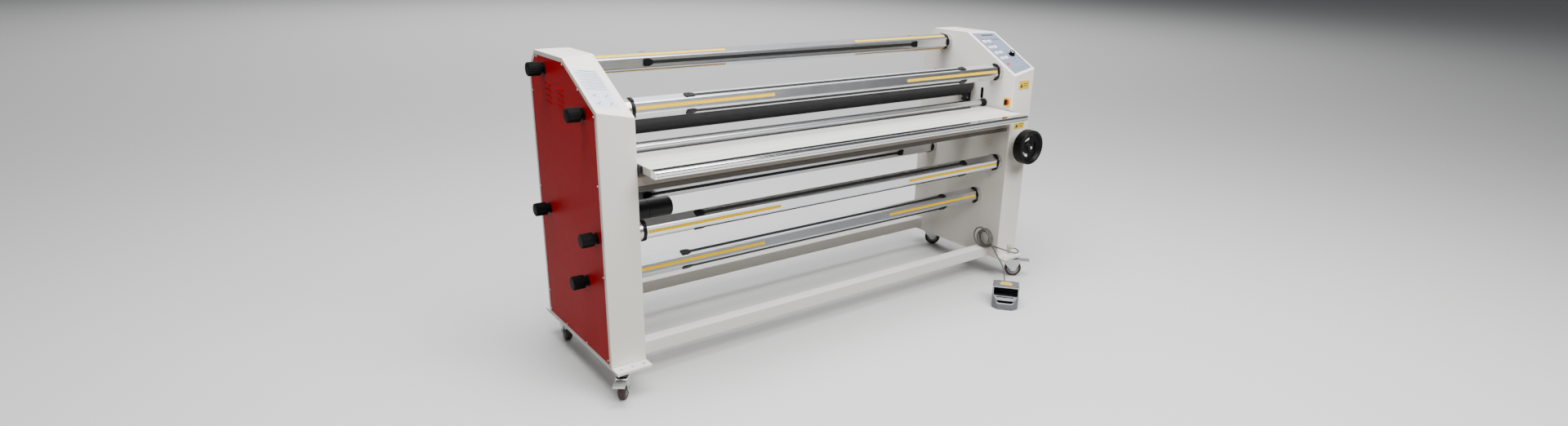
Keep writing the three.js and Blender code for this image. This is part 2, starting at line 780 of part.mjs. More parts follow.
const switchHalf = switchPlate / 2;
const switchWall = innerFaceX - touchGap;
const switchFace = switchWall - switchPlateThickness;
const handleFrom = switchFace - touchGap;
const switchDiscRadius = switchHalf - 6;
const [gripThickness, gripHeight, gripReach] = switchGrip;
add(
  "power_switch_plate",
  box([switchFace, switchWall], [switchY - switchHalf, switchY + switchHalf],
    [switchZ - switchHalf, switchZ + switchHalf]),
  yellowPlastic,
);
add(
  "power_switch_handle",
  join(
    rod(switchDiscRadius, handleFrom - switchDisc, handleFrom, "x", [0, switchY, switchZ], 24),
    box(
      [handleFrom - 1 - gripReach, handleFrom - 1],
      [switchY - gripThickness / 2, switchY + gripThickness / 2],
      [switchZ - gripHeight / 2, switchZ + gripHeight / 2],
    ),
  ),
  blackPlastic,
);

// ---- Casters: a bolted race plate, a swivelling fork, a wheel and a brake pedal ----
// Each is drawn with its swivel axis on Z and the wheel trailing towards +X.

const casterPlateTop = basePlateTopZ - basePlateThickness - touchGap;
const casterRaceBottom = casterPlateTop - casterPlateThickness - casterRaceHeight;
const forkTop = casterRaceBottom - touchGap;
const wheelHalf = casterWheelWidth / 2;
const forkInside = wheelHalf + casterForkGap;
const forkOutside = forkInside + casterForkSheet;
const axleRadius = 5;
const pedalPinX = casterTrail + 22;
const pedalPinZ = forkTop - 8.4;
const pedalPinRadius = 3;
const pedalReach = 50;

function casterMount() {
  const half = casterPlate / 2;
  const plateZ = [casterPlateTop - casterPlateThickness, casterPlateTop];
  return join(
    box([-half, half], [-half, half], plateZ),
    rod(23, casterRaceBottom, plateZ[0] + 1, "z", [0, 0, 0]),
  );
}

function casterFork() {
  const crownZ = forkTop - casterForkSheet;
  const axle = [casterTrail, 0, casterWheelRadius];
  const legOutline = [
    [-20, forkTop],
    [-20, forkTop - 10],
    [casterTrail - 13, casterWheelRadius - 6],
    [casterTrail - 6, casterWheelRadius - 13],
    [casterTrail + 6, casterWheelRadius - 13],
    [casterTrail + 13, casterWheelRadius - 4],
    [pedalPinX + 6, pedalPinZ - 5],
    [pedalPinX + 6, pedalPinZ + 4],
    [pedalPinX, forkTop],
  ];
  const leg = extrusion([...legOutline].reverse(), casterForkSheet);
  leg.rotateX(Math.PI / 2);
  leg.translate(0, forkOutside, 0);
  const oneLeg = solid(leg);
  return join(
    box([-20, pedalPinX - 14], [-forkOutside, forkOutside], [crownZ, forkTop]),
    oneLeg,
    oneLeg.mirror([0, 1, 0]),
    rod(axleRadius, -forkOutside - 4, forkOutside + 4, "y", axle, 16),
    rod(8, forkOutside - 1, forkOutside + 4, "y", axle, 6),
    rod(8, -forkOutside - 4, -forkOutside + 1, "y", axle, 6),
    rod(pedalPinRadius, -forkOutside - 1, forkOutside + 1, "y", [pedalPinX, 0, pedalPinZ], 12),
  );
}

function casterWheel() {
  const bore = axleRadius + runningGap;
  const tread = casterWheelRadius;
  const hubHalf = wheelHalf + 1.5;
  const profile = [
    [bore, -hubHalf],
    [12, -hubHalf],
    [12, -wheelHalf + 3],
    [27, -wheelHalf + 3],
    [28, -wheelHalf],
    [tread - 4, -wheelHalf],
    [tread, -wheelHalf + 6],
    [tread, wheelHalf - 6],
    [tread - 4, wheelHalf],
    [28, wheelHalf],
    [27, wheelHalf - 3],
    [12, wheelHalf - 3],
    [12, hubHalf],
    [bore, hubHalf],
    [bore, -hubHalf],
  ];
  return turned(profile, "y", [casterTrail, 0, casterWheelRadius], 24);
}

function casterBrake() {
  const inside = forkInside - touchGap;
  const padX = pedalPinX + pedalReach;
  const sheetZ = [pedalPinZ + 1, pedalPinZ + 4];
  const pin = [pedalPinX, 0, pedalPinZ];
  const boss = rod(pedalPinRadius + 3, -inside, inside, "y", pin, 16);
  return cut(
    join(
      boss,
      box([pedalPinX - 3, pedalPinX + 14], [-inside, inside], sheetZ),
      box([pedalPinX + 8, padX], [-forkOutside - 2, forkOutside + 2], sheetZ),
      box([padX - 3, padX], [-forkOutside - 2, forkOutside + 2], [sheetZ[0] - 4, sheetZ[1]]),
    ),
    rod(pedalPinRadius + runningGap, -inside - 1, inside + 1, "y", pin, 12),
  );
}

const casterPieces = {
  mount: [surface(casterMount()), zinc],
  fork: [surface(casterFork()), zinc],
  wheel: [surface(casterWheel()), tyreRubber],
  brake: [surface(casterBrake()), zinc],
};
const casterPlaces = {
  front_left: [-casterX, casterFrontY],
  front_right: [casterX, casterFrontY],
  rear_left: [-casterX, casterRearY],
  rear_right: [casterX, casterRearY],
};
for (const [place, [x, y]] of Object.entries(casterPlaces)) {
  for (const [piece, [geometry, material]] of Object.entries(casterPieces)) {
    const mesh = add(`${place}_caster_${piece}`, geometry.clone(), material);
    mesh.position.set(x, y, 0);
    // The race plate stays square to the base plate; the rest is swivelled.
    if (piece !== "mount") mesh.rotation.z = THREE.MathUtils.degToRad(casterTurn[place]);
  }
}

// ---- Foot switch: a cast housing with a hood over the pedal ----
// Drawn facing -Y with its centre on the origin.

const footSwitch = new THREE.Group();
footSwitch.position.set(footSwitchX, footSwitchY, 0);
footSwitch.rotation.z = THREE.MathUtils.degToRad(footSwitchTurn);
machine.add(footSwitch);

const footFloor = 6;
const footHoodFrontY = -footSwitchLength / 2 + footHoodSetback;
const footPedalHingeY = footSwitchLength / 2 - 34;
const footPedalHingeZ = 26;
const footPinRadius = 3;
const footGlandLength = 8;
const footGlandZ = 22;

function footHousing() {
  const w = footSwitchWidth / 2;
  const l = footSwitchLength / 2;
  const t = footSwitchWall;
  const top = footSwitchHeight;
  const side = [
    [-l, 0],
    [l, 0],
    [l, top - 18],
    [l - 22, top],
    [footHoodFrontY, top],
    [footHoodFrontY - 22, top - 26],
    [-l + 10, top - 52],
    [-l, top - 62],
  ];
  const inner = [
    [-l - 1, footFloor],
    [l - t, footFloor],
    [l - t, top - 20],
    [l - 24, top - t],
    [footHoodFrontY - 40, top - t],
    [footHoodFrontY - 40, top + 1],
    [-l - 1, top + 1],
  ];
  const pinEnds = [w - t - 3, w - t + 1];
  const pin = rod(footPinRadius, ...pinEnds, "x", [0, footPedalHingeY, footPedalHingeZ], 12);
  const gland = rod(6, l - 1, l + footGlandLength, "y", [0, 0, footGlandZ], 16);
  const roof = box([-w + 1, w - 1], [footHoodFrontY - 22, l - 24], [top - t, top]);
  return join(
    cut(alongX(side, -w, w), alongX(inner, -w + t, w - t)),
    roof,
    gland,
    pin,
    mirrored(pin, -1),
  );
}

function footPedal() {
  const w = footSwitchWidth / 2 - footSwitchWall - 2;
  const frontY = -footSwitchLength / 2 + 26;
  const outline = [
    [footPedalHingeY + 6, footPedalHingeZ - 6],
    [footPedalHingeY + 6, footPedalHingeZ + 6],
    [footHoodFrontY, 46],
    [frontY + 14, 42],
    [frontY, 33],
    [frontY, 29],
    [frontY + 14, 38],
    [footHoodFrontY, 42],
    [footPedalHingeY - 6, footPedalHingeZ - 6],
  ];
  const bore = [-w - 1, w + 1];
  const pinHole = rod(footPinRadius + runningGap, ...bore, "x", [0, footPedalHingeY, footPedalHingeZ], 12);
  return cut(alongX([...outline].reverse(), -w, w), pinHole);
}

add("foot_switch_housing", footHousing(), castGrey, footSwitch);
add("foot_switch_pedal", footPedal(), castGrey, footSwitch);

// ---- Cable of the foot switch ----
// A plug on the right front face, a short run to a coil that stands on the front crossbeam against the
// cabinet wall, and a run down to the foot switch.

const plugY = cabinetFrontY - touchGap;
const coilOuter = coilRadius + coilSection;
const coilCentre = new THREE.Vector3(
  innerFaceX - coilSection - 2,
  frontBeamY - 17,
  frontBeamZ + beamSize / 2 + coilOuter + touchGap,
);
add(
  "foot_switch_plug",
  turned(
    [
      [0, plugY - plugLength],
      [4.5, plugY - plugLength],
      [6, plugY - 24],
      [11, plugY - 22],
      [11, plugY - 12],
      [13, plugY - 12],
      [13, plugY],
      [0, plugY],
    ],
    "y", [socketX, 0, socketZ], 20,
  ),
  beigePlastic,
);

// The coil stands upright, as one solid ring of the outer shape of its turns.
function cableCoil() {
  const sides = 8;
  const section = Array.from({ length: sides + 1 }, (_, k) => {
    const angle = (2 * Math.PI * k) / sides;
    return [coilRadius + coilSection * Math.cos(angle), coilSection * Math.sin(angle)];
  });
  return turned(section, "x", coilCentre.toArray(), 20);
}

// A point just off the coil's rim, at an angle below the horizontal towards the front.
function offCoil(degrees, distance) {
  const angle = THREE.MathUtils.degToRad(degrees);
  const radius = coilOuter + distance;
  return [
    coilCentre.x,
    coilCentre.y - radius * Math.cos(angle),
    coilCentre.z - radius * Math.sin(angle),
  ];
}

const upperCable = [
  [socketX, plugY - plugLength - cableGap, socketZ],
  [socketX, plugY - plugLength - 5, socketZ],
  [socketX - 1, plugY - 48, socketZ - 5],
  [socketX - 12, plugY - 54, socketZ - 10],
  [socketX - 40, plugY - 46, socketZ - 6],
  [socketX - 64, plugY - 33, socketZ + 4],
  [socketX - 82, plugY - 20, socketZ + 13],
  offCoil(28, 12),
  offCoil(28, cableGap),
];
const lowerCable = [
  offCoil(44, cableGap),
  offCoil(44, 14),
  [863, -312, 128],
  [864, -334, 109],
  [867, -356, 88],
  [867, -370, 66],
  [858, -382, 48],
  [840, -394, 32],
  [818, -408, 14],
  [796, -424, 5],
  [776, -440, 8],
];

const sweep = (points) => new THREE.CatmullRomCurve3(points.map((p) => new THREE.Vector3(...p)));
for (const [distance, drop] of [[22, 6], [8, 0], [cableGap, 0]]) {
  const y = footSwitchLength / 2 + footGlandLength + distance;
  const point = new THREE.Vector3(0, y, footGlandZ - drop);
  point.applyAxisAngle(new THREE.Vector3(0, 0, 1), footSwitch.rotation.z);
  lowerCable.push(point.add(footSwitch.position).toArray());
}

add("cable_to_coil", solid(sweptTube(sweep(upperCable), cableRadius, 8, 22)), cableSheath);
add("cable_coil", cableCoil(), cableSheath);
add("cable_to_foot_switch", solid(sweptTube(sweep(lowerCable), cableRadius, 8, 32)), cableSheath);

// ---- Origin: on the floor, under the middle of the whole machine with its foot switch ----

const originX = -6;
const originY = -160;
machine.position.set(-originX, -originY, 0);

const laminator = new THREE.Group();
laminator.add(machine);

export default laminator;
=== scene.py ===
import math

import bmesh
import bpy
from mathutils import Matrix, Vector


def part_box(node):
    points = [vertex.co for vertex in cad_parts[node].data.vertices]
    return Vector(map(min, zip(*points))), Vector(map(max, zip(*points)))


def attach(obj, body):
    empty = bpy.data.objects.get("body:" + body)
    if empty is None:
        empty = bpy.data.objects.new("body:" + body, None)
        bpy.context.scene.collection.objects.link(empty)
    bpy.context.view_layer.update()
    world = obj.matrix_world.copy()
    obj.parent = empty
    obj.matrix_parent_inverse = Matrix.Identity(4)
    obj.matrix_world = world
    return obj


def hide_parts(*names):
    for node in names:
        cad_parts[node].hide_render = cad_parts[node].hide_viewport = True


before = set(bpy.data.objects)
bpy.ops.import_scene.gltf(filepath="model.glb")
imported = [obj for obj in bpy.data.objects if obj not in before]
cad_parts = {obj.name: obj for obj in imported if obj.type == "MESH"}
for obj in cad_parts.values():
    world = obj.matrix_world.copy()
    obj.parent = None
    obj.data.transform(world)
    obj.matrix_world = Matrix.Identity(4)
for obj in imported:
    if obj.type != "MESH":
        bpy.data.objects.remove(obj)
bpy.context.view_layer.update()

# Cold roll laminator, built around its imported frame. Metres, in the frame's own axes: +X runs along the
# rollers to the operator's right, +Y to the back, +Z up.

# ---- Floor and light ----
# A pale studio floor under soft box lights: one overhead, one high at the operator's side, a weak one from
# the left and a wide one that lights the floor behind. The floor throws back less light than it shows, as
# if the machine stood on a dark cloth, so that its underside falls into shade.
scene = bpy.context.scene

floor_mesh = bpy.data.meshes.new("studio_floor")
floor_mesh.from_pydata([(-60, -60, 0), (60, -60, 0), (60, 60, 0), (-60, 60, 0)], [], [(0, 1, 2, 3)])
floor = bpy.data.objects.new("studio_floor", floor_mesh)
scene.collection.objects.link(floor)

floor_paint = bpy.data.materials.new("studio_floor")
floor_paint.use_nodes = True
floor_shader = floor_paint.node_tree.nodes["Principled BSDF"]
floor_path = floor_paint.node_tree.nodes.new("ShaderNodeLightPath")
floor_tone = floor_paint.node_tree.nodes.new("ShaderNodeMix")
floor_tone.data_type = "RGBA"
floor_tone.inputs[6].default_value = (0.62, 0.62, 0.62, 1)
floor_tone.inputs[7].default_value = (0.13, 0.112, 0.092, 1)
floor_paint.node_tree.links.new(floor_path.outputs["Is Diffuse Ray"], floor_tone.inputs[0])
floor_paint.node_tree.links.new(floor_tone.outputs[2], floor_shader.inputs["Base Color"])
floor_shader.inputs["Roughness"].default_value = 0.75
floor_mesh.materials.append(floor_paint)

surround = bpy.data.worlds.new("studio_surround")
surround.use_nodes = True
surround.node_tree.nodes["Background"].inputs["Color"].default_value = (0.93, 0.96, 1.0, 1)
surround.node_tree.nodes["Background"].inputs["Strength"].default_value = 0.115
scene.world = surround


def soft_box(name, place, target, size, watts, tint=(1, 1, 1)):
    lamp = bpy.data.lights.new(name, "AREA")
    lamp.shape = "RECTANGLE"
    lamp.size, lamp.size_y = size
    lamp.energy = watts
    lamp.color = tint
    holder = bpy.data.objects.new(name, lamp)
    holder.location = place
    aim = Vector(target) - Vector(place)
    holder.rotation_euler = aim.to_track_quat("-Z", "Y").to_euler()
    scene.collection.objects.link(holder)


soft_box("overhead_box", (-0.4, -0.5, 4.0), (0, 0, 0.6), (3.6, 2.2), 325)
soft_box("operator_side_box", (0.2, -3.6, 3.9), (0, 0, 0.7), (4.2, 1.8), 300, (1, 0.99, 0.97))
soft_box("left_side_box", (-4.6, -1.4, 2.8), (-0.4, 0, 0.6), (2.4, 2.2), 30)
soft_box("background_box", (5, 11, 7.5), (5, 11, 0), (14, 14), 1700)

# ---- Camera ----
# It stands beyond the left front corner, a little above the machine, and looks slightly down along it.
view_heading, view_pitch, view_roll = 0.653378, -0.336227, 0.0253445
ahead = Vector((
    math.sin(view_heading) * math.cos(view_pitch),
    math.cos(view_heading) * math.cos(view_pitch),
    math.sin(view_pitch),
))
level = Vector((math.cos(view_heading), -math.sin(view_heading), 0))
rise = level.cross(ahead)
view_right = level * math.cos(view_roll) + rise * math.sin(view_roll)
view_up = rise * math.cos(view_roll) - level * math.sin(view_roll)
lens_data = bpy.data.cameras.new("camera")
lens_data.sensor_width = 36
lens_data.lens = 19.114
lens_data.shift_x = -0.0170
lens_data.shift_y = 0.0135
camera = bpy.data.objects.new("camera", lens_data)
camera.matrix_world = Matrix.Translation((-1.95769, -2.45109, 1.43615)) @ Matrix((
    (view_right.x, view_up.x, -ahead.x, 0),
    (view_right.y, view_up.y, -ahead.y, 0),
    (view_right.z, view_up.z, -ahead.z, 0),
    (0, 0, 0, 1),
))
scene.collection.objects.link(camera)
scene.camera = camera

# ---- Foot switch cable ----
# A six-millimetre round sheathed cable. From the plug on the right cabinet it runs round the corner to a
# loose coil that stands on the front crossbeam, and from there past the base plate down to the foot switch.


def grain_group():
    """The look that most finishes share: a soft unevenness of tone, handling marks in the gloss and a fine
    grain, which can be drawn out along one direction as on rolled, turned or extruded metal."""
    tree = bpy.data.node_groups.new("surface_grain", "ShaderNodeTree")
    face = tree.interface
    for label, kind, value in (
        ("Colour", "NodeSocketColor", (0.8, 0.8, 0.8, 1)),
        ("Roughness", "NodeSocketFloat", 0.5),
        ("Stretch", "NodeSocketVector", (1, 1, 1)),
        ("Grain scale", "NodeSocketFloat", 900.0),
        ("Mottle", "NodeSocketFloat", 0.04),
        ("Smudge", "NodeSocketFloat", 0.08),
    ):
        face.new_socket(name=label, in_out="INPUT", socket_type=kind).default_value = value
    face.new_socket(name="Colour", in_out="OUTPUT", socket_type="NodeSocketColor")
    face.new_socket(name="Roughness", in_out="OUTPUT", socket_type="NodeSocketFloat")
    face.new_socket(name="Height", in_out="OUTPUT", socket_type="NodeSocketFloat")
    nodes, links = tree.nodes, tree.links
    entry, leave = nodes.new("NodeGroupInput"), nodes.new("NodeGroupOutput")
    place = nodes.new("ShaderNodeTexCoord")

    drawn = nodes.new("ShaderNodeVectorMath")
    drawn.operation = "MULTIPLY"
    links.new(place.outputs["Object"], drawn.inputs[0])
    links.new(entry.outputs["Stretch"], drawn.inputs[1])
    fine = nodes.new("ShaderNodeTexNoise")
    fine.inputs["Detail"].default_value = 3
    links.new(drawn.outputs[0], fine.inputs["Vector"])
    links.new(entry.outputs["Grain scale"], fine.inputs["Scale"])
    broad = nodes.new("ShaderNodeTexNoise")
    broad.inputs["Scale"].default_value = 3.1
    broad.inputs["Detail"].default_value = 4
    links.new(place.outputs["Object"], broad.inputs["Vector"])
    marks = nodes.new("ShaderNodeTexNoise")
    marks.inputs["Scale"].default_value = 26
    marks.inputs["Detail"].default_value = 6
    marks.inputs["Roughness"].default_value = 0.68
    links.new(place.outputs["Object"], marks.inputs["Vector"])

    def scaled(noise, amount, start):
        """start plus amount times the noise, which is centred on nought."""
        centred = nodes.new("ShaderNodeMath")
        centred.operation = "SUBTRACT"
        centred.inputs[1].default_value = 0.5
        links.new(noise.outputs[0], centred.inputs[0])
        out = nodes.new("ShaderNodeMath")
        out.operation = "MULTIPLY_ADD"
        links.new(centred.outputs[0], out.inputs[0])
        links.new(amount, out.inputs[1])
        if isinstance(start, float):
            out.inputs[2].default_value = start
        else:
            links.new(start, out.inputs[2])
        return out.outputs[0]

    tone = scaled(broad, entry.outputs["Mottle"], 1.0)
    tone = scaled(fine, entry.outputs["Mottle"], tone)
    shade = nodes.new("ShaderNodeVectorMath")
    shade.operation = "SCALE"
    links.new(entry.outputs["Colour"], shade.inputs[0])
    links.new(tone, shade.inputs["Scale"])
    links.new(shade.outputs[0], leave.inputs["Colour"])
    links.new(scaled(marks, entry.outputs["Smudge"], entry.outputs["Roughness"]), leave.inputs["Roughness"])
    links.new(fine.outputs[0], leave.inputs["Height"])
    return tree


surface_grain = grain_group()


def finish(name, colour, roughness, metallic=0.0, coat=0.0, grain=900, depth=0.00002, stretch=(1, 1, 1),
           mottle=0.05, smudge=0.1, specular=0.5):
    """A material on the shared grain. Colours are linear; grain is in waves a metre, depth in metres."""
    material = bpy.data.materials.new(name)
    material.use_nodes = True
    nodes, links = material.node_tree.nodes, material.node_tree.links
    shader = nodes["Principled BSDF"]
    shader.inputs["Metallic"].default_value = metallic
    shader.inputs["Coat Weight"].default_value = coat
    shader.inputs["Specular IOR Level"].default_value = specular
    shader.inputs["Coat Roughness"].default_value = 0.12
    group = nodes.new("ShaderNodeGroup")
    group.name = "grain"
    group.node_tree = surface_grain
    group.inputs["Colour"].default_value = (*colour, 1)
    group.inputs["Roughness"].default_value = roughness
    group.inputs["Stretch"].default_value = stretch
    group.inputs["Grain scale"].default_value = grain
    group.inputs["Mottle"].default_value = mottle
    group.inputs["Smudge"].default_value = smudge
    bump = nodes.new("ShaderNodeBump")
    bump.name = "bump"
    bump.inputs["Strength"].default_value = 0.6
    bump.inputs["Distance"].default_value = depth
    links.new(group.outputs["Colour"], shader.inputs["Base Color"])
    links.new(group.outputs["Roughness"], shader.inputs["Roughness"])
    links.new(group.outputs["Height"], bump.inputs["Height"])
    links.new(bump.outputs["Normal"], shader.inputs["Normal"])
    return material


def smooth_route(points, steps):
    """Points along a Catmull-Rom curve through the given ones."""
    route = []
    padded = [points[0] * 2 - points[1], *points, points[-1] * 2 - points[-2]]
    for a, b, c, d in zip(padded, padded[1:], padded[2:], padded[3:]):
        for k in range(steps):
            t = k / steps
            route.append(0.5 * (
                2 * b + (c - a) * t + (2 * a - 5 * b + 4 * c - d) * t * t + (3 * b - a - 3 * c + d) * t ** 3
            ))
    return route + [points[-1]]


cable_grey = finish("cable_sheath", (0.105, 0.1, 0.093), 0.5, grain=500, depth=0.00003, mottle=0.1)
cable_radius = 0.003
beam_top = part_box("front_crossbeam")[1].z
plug_low, plug_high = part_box("foot_switch_plug")
plug_back = Vector(((plug_low.x + plug_high.x) / 2, plug_low.y, (plug_low.z + plug_high.z) / 2))
wall_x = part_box("right_side_frame")[0].x

cable_points = [plug_back + Vector(step) for step in (
    (0, 0, 0), (0, -0.008, 0), (-0.002, -0.02, -0.002), (-0.011, -0.032, -0.005), (-0.027, -0.036, -0.006),
    (-0.045, -0.029, -0.003), (-0.06, -0.015, 0.002), (-0.0725, 0.001, 0.007), (-0.081, 0.018, 0.01),
    (-0.0826, 0.036, 0.0105), (-0.0826, 0.058, 0.009),
)]
# The coil is wound away from the wall: along the beam to the back, up, over the top and down the front.
coil_y = plug_back.y + 0.099
turn_steps = 16
turn_pitch = 0.0069
turn_radii = (0.043, 0.037, 0.035, 0.036, 0.039, 0.049, 0.055)
turn_shifts = (0.004, -0.004, -0.01, -0.005, 0.004, 0.012, 0.012)
for k in range(4 * turn_steps + 13):
    turn = k / turn_steps
    low_turn, part = int(turn), turn - int(turn)
    radius = turn_radii[low_turn] * (1 - part) + turn_radii[low_turn + 1] * part
    shift = turn_shifts[low_turn] * (1 - part) + turn_shifts[low_turn + 1] * part
    angle = math.radians(-58) - math.tau * turn
    cable_points.append(Vector((
        wall_x - 0.0036 - turn_pitch * turn,
        coil_y + shift - radius * math.cos(angle),
        beam_top + cable_radius + 0.0006 + radius * (1 + math.sin(angle)),
    )))
switch_turn = math.radians(-49.5)
switch_centre = Vector((0.692, -0.363, 0))
switch_back = Vector((-math.sin(switch_turn), math.cos(switch_turn), 0))
gland_end = switch_centre + switch_back * 0.0762 + Vector((0, 0, 0.022))
for x, y, z in (
    (-0.034, -0.061, 0.168), (-0.026, -0.071, 0.143), (-0.018, -0.085, 0.119), (-0.013, -0.102, 0.096),
    (-0.011, -0.118, 0.073), (-0.016, -0.133, 0.05), (-0.029, -0.147, 0.03), (-0.049, -0.163, 0.014),
    (-0.07, -0.181, 0.006),
):
    cable_points.append(Vector((wall_x + x, coil_y + y, z)))
cable_points += [
    gland_end + switch_back * 0.02 - Vector((0, 0, 0.009)),
    gland_end + switch_back * 0.008 - Vector((0, 0, 0.001)),
    gland_end,
]
cable_route = smooth_route(cable_points, 5)
cable_data = bpy.data.curves.new("foot_switch_cable", "CURVE")
cable_data.dimensions = "3D"
cable_data.bevel_depth = cable_radius
cable_data.bevel_resolution = 3
cable_data.use_fill_caps = True
cable_spline = cable_data.splines.new("POLY")
cable_spline.points.add(len(cable_route) - 1)
for spot, place in zip(cable_spline.points, cable_route):
    spot.co = (*place, 1)
cable_data.materials.append(cable_grey)
cable = bpy.data.objects.new("foot_switch_cable", cable_data)
scene.collection.objects.link(cable)
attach(cable, "frame")
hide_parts("cable_to_coil", "cable_coil", "cable_to_foot_switch")

# ---- Foot switch plug ----
# A round moulded cable connector in beige plastic with a ribbed coupling ring, screwed into a flanged
# socket on the right cabinet's front.


def lathe(profile, axis, centre, segments=48):
    """A closed body of revolution from (radius, distance along the axis) pairs."""
    bm = bmesh.new()
    rings = []
    for radius, along in profile:
        if radius < 1e-6:
            rings.append([bm.verts.new((0, 0, along))])
            continue
        rings.append([
            bm.verts.new((radius * math.cos(math.tau * k / segments),
                          radius * math.sin(math.tau * k / segments), along))
            for k in range(segments)
        ])
    for lower, upper in zip(rings, rings[1:]):
        for k in range(segments):
            corners = [lower[k % len(lower)], lower[(k + 1) % segments % len(lower)],
                       upper[(k + 1) % segments % len(upper)], upper[k % len(upper)]]
            corners = list(dict.fromkeys(corners))
            if len(corners) > 2:
                bm.faces.new(corners)
    turn = {"x": Matrix.Rotation(math.pi / 2, 4, "Y"), "y": Matrix.Rotation(-math.pi / 2, 4, "X"),
            "z": Matrix.Identity(4)}[axis]
    bm.transform(Matrix.Translation(centre) @ turn)
    return bm


def prism(outline, axis, start, end):
    """A closed body from an outline across the axis: (y, z) for x, (x, z) for y, (x, y) for z."""
    order = {"x": lambda p, t: (t, p[0], p[1]), "y": lambda p, t: (p[0], t, p[1]),
             "z": lambda p, t: (p[0], p[1], t)}[axis]
    bm = bmesh.new()
    ends = [[bm.verts.new(order(p, t)) for p in outline] for t in (start, end)]
    bm.faces.new(ends[0])
    bm.faces.new(ends[1][::-1])
    count = len(outline)
    for k in range(count):
        bm.faces.new((ends[0][k], ends[0][(k + 1) % count], ends[1][(k + 1) % count], ends[1][k]))
    bmesh.ops.recalc_face_normals(bm, faces=bm.faces)
    return bm


def block(low, high):
    return prism([(low[0], low[1]), (high[0], low[1]), (high[0], high[1]), (low[0], high[1])],
                 "z", low[2], high[2])


def together(*parts):
    """One bmesh that holds all the given ones."""
    whole = bmesh.new()
    for part in parts:
        mesh = bpy.data.meshes.new("part")
        part.to_mesh(mesh)
        whole.from_mesh(mesh)
        bpy.data.meshes.remove(mesh)
        part.free()
    return whole


def copies(master, places):
    """The master repeated at each matrix, in one bmesh."""
    parts = []
    for place in places:
        part = master.copy()
        part.transform(place)
        parts.append(part)
    master.free()
    return together(*parts)


def carved(bm, *tools, operation="DIFFERENCE"):
    """The body with the tools cut out of it."""
    holders = []
    for part in (bm, *tools):
        mesh = bpy.data.meshes.new("part")
        bmesh.ops.recalc_face_normals(part, faces=part.faces)
        part.to_mesh(mesh)
        part.free()
        holders.append(bpy.data.objects.new("part", mesh))
        scene.collection.objects.link(holders[-1])
    for tool in holders[1:]:
        cut = holders[0].modifiers.new("cut", "BOOLEAN")
        cut.operation = operation
        cut.solver = "MANIFOLD"
        cut.object = tool
    bpy.context.view_layer.update()
    result = bmesh.new()
    result.from_object(holders[0], bpy.context.evaluated_depsgraph_get())
    for holder in holders:
        mesh = holder.data
        bpy.data.objects.remove(holder)
        bpy.data.meshes.remove(mesh)
    bmesh.ops.dissolve_limit(result, angle_limit=math.radians(1), verts=result.verts, edges=result.edges)
    return result


def eased(bm, radius, steps=2, over=50):
    """Rounds off every edge sharper than an angle in degrees."""
    bmesh.ops.recalc_face_normals(bm, faces=bm.faces)
    edges = [e for e in bm.edges if len(e.link_faces) == 2 and e.calc_face_angle(0) > math.radians(over)]
    bmesh.ops.bevel(bm, geom=edges, offset=radius, offset_type="OFFSET", segments=steps, profile=0.5,
                    affect="EDGES", clamp_overlap=True)
    return bm


def piece(name, bm, materials, body, nodes=(), sharp=32):
    """A finished piece: its mesh shaded smooth up to its sharp edges, riding on its body."""
    bmesh.ops.remove_doubles(bm, verts=bm.verts, dist=1e-7)
    bmesh.ops.recalc_face_normals(bm, faces=bm.faces)
    mesh = bpy.data.meshes.new(name)
    bm.to_mesh(mesh)
    bm.free()
    for material in materials if isinstance(materials, (list, tuple)) else [materials]:
        mesh.materials.append(material)
    mesh.shade_smooth()
    mesh.set_sharp_from_angle(angle=math.radians(sharp))
    item = bpy.data.objects.new(name, mesh)
    scene.collection.objects.link(item)
    weighted = item.modifiers.new("even_shading", "WEIGHTED_NORMAL")
    weighted.keep_sharp = True
    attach(item, body)
    if nodes:
        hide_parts(*nodes)
    return item


def ribbed(radius, depth, ribs, start, end, axis, centre, lead=0.0):
    """A round grip whose side is cut with ribs, eased at both ends by a lead."""
    steps = ribs * 4
    bm = bmesh.new()
    rings = []
    for along, part in ((start, 0.0), (start + lead, 1.0), (end - lead, 1.0), (end, 0.0)):
        ring = []
        for k in range(steps):
            angle = math.tau * k / steps
            dip = depth if k % 4 in (0, 1) else 0.0
            r = radius - dip * part - (1 - part) * (lead * 0.7 + dip)
            ring.append(bm.verts.new((r * math.cos(angle), r * math.sin(angle), along)))
        rings.append(ring)
    for lower, upper in zip(rings, rings[1:]):
        for k in range(steps):
            bm.faces.new((lower[k], lower[(k + 1) % steps], upper[(k + 1) % steps], upper[k]))
    bm.faces.new(rings[0][::-1])
    bm.faces.new(rings[-1])
    turn = {"x": Matrix.Rotation(math.pi / 2, 4, "Y"), "y": Matrix.Rotation(-math.pi / 2, 4, "X"),
            "z": Matrix.Identity(4)}[axis]
    bm.transform(Matrix.Translation(centre) @ turn)
    return bm


beige_plastic = finish("beige_plastic", (0.56, 0.52, 0.41), 0.38, grain=1400, depth=0.00001)
plug_front = Vector((plug_back.x, plug_high.y, plug_back.z))
plug_shell = lathe([
    (0, 0), (0.0032, 0), (0.0036, 0.002), (0.005, 0.0035), (0.005, 0.005), (0.0042, 0.0055), (0.0044, 0.0068),
    (0.0058, 0.0072), (0.006, 0.0087), (0.005, 0.0092), (0.0062, 0.0108), (0.0092, 0.012), (0.0098, 0.0128),
    (0.0098, 0.014), (0, 0.014),
], "y", plug_back, 40)
plug_ring = ribbed(0.0112, 0.0007, 22, 0.0125, 0.0235, "y", plug_back, 0.0008)
plug_neck = lathe([(0, 0.023), (0.0098, 0.023), (0.0098, 0.0262), (0, 0.0262)], "y", plug_back, 40)
plug = piece("plug", together(plug_shell, plug_ring, plug_neck), beige_plastic, "frame",
             ["foot_switch_plug"])
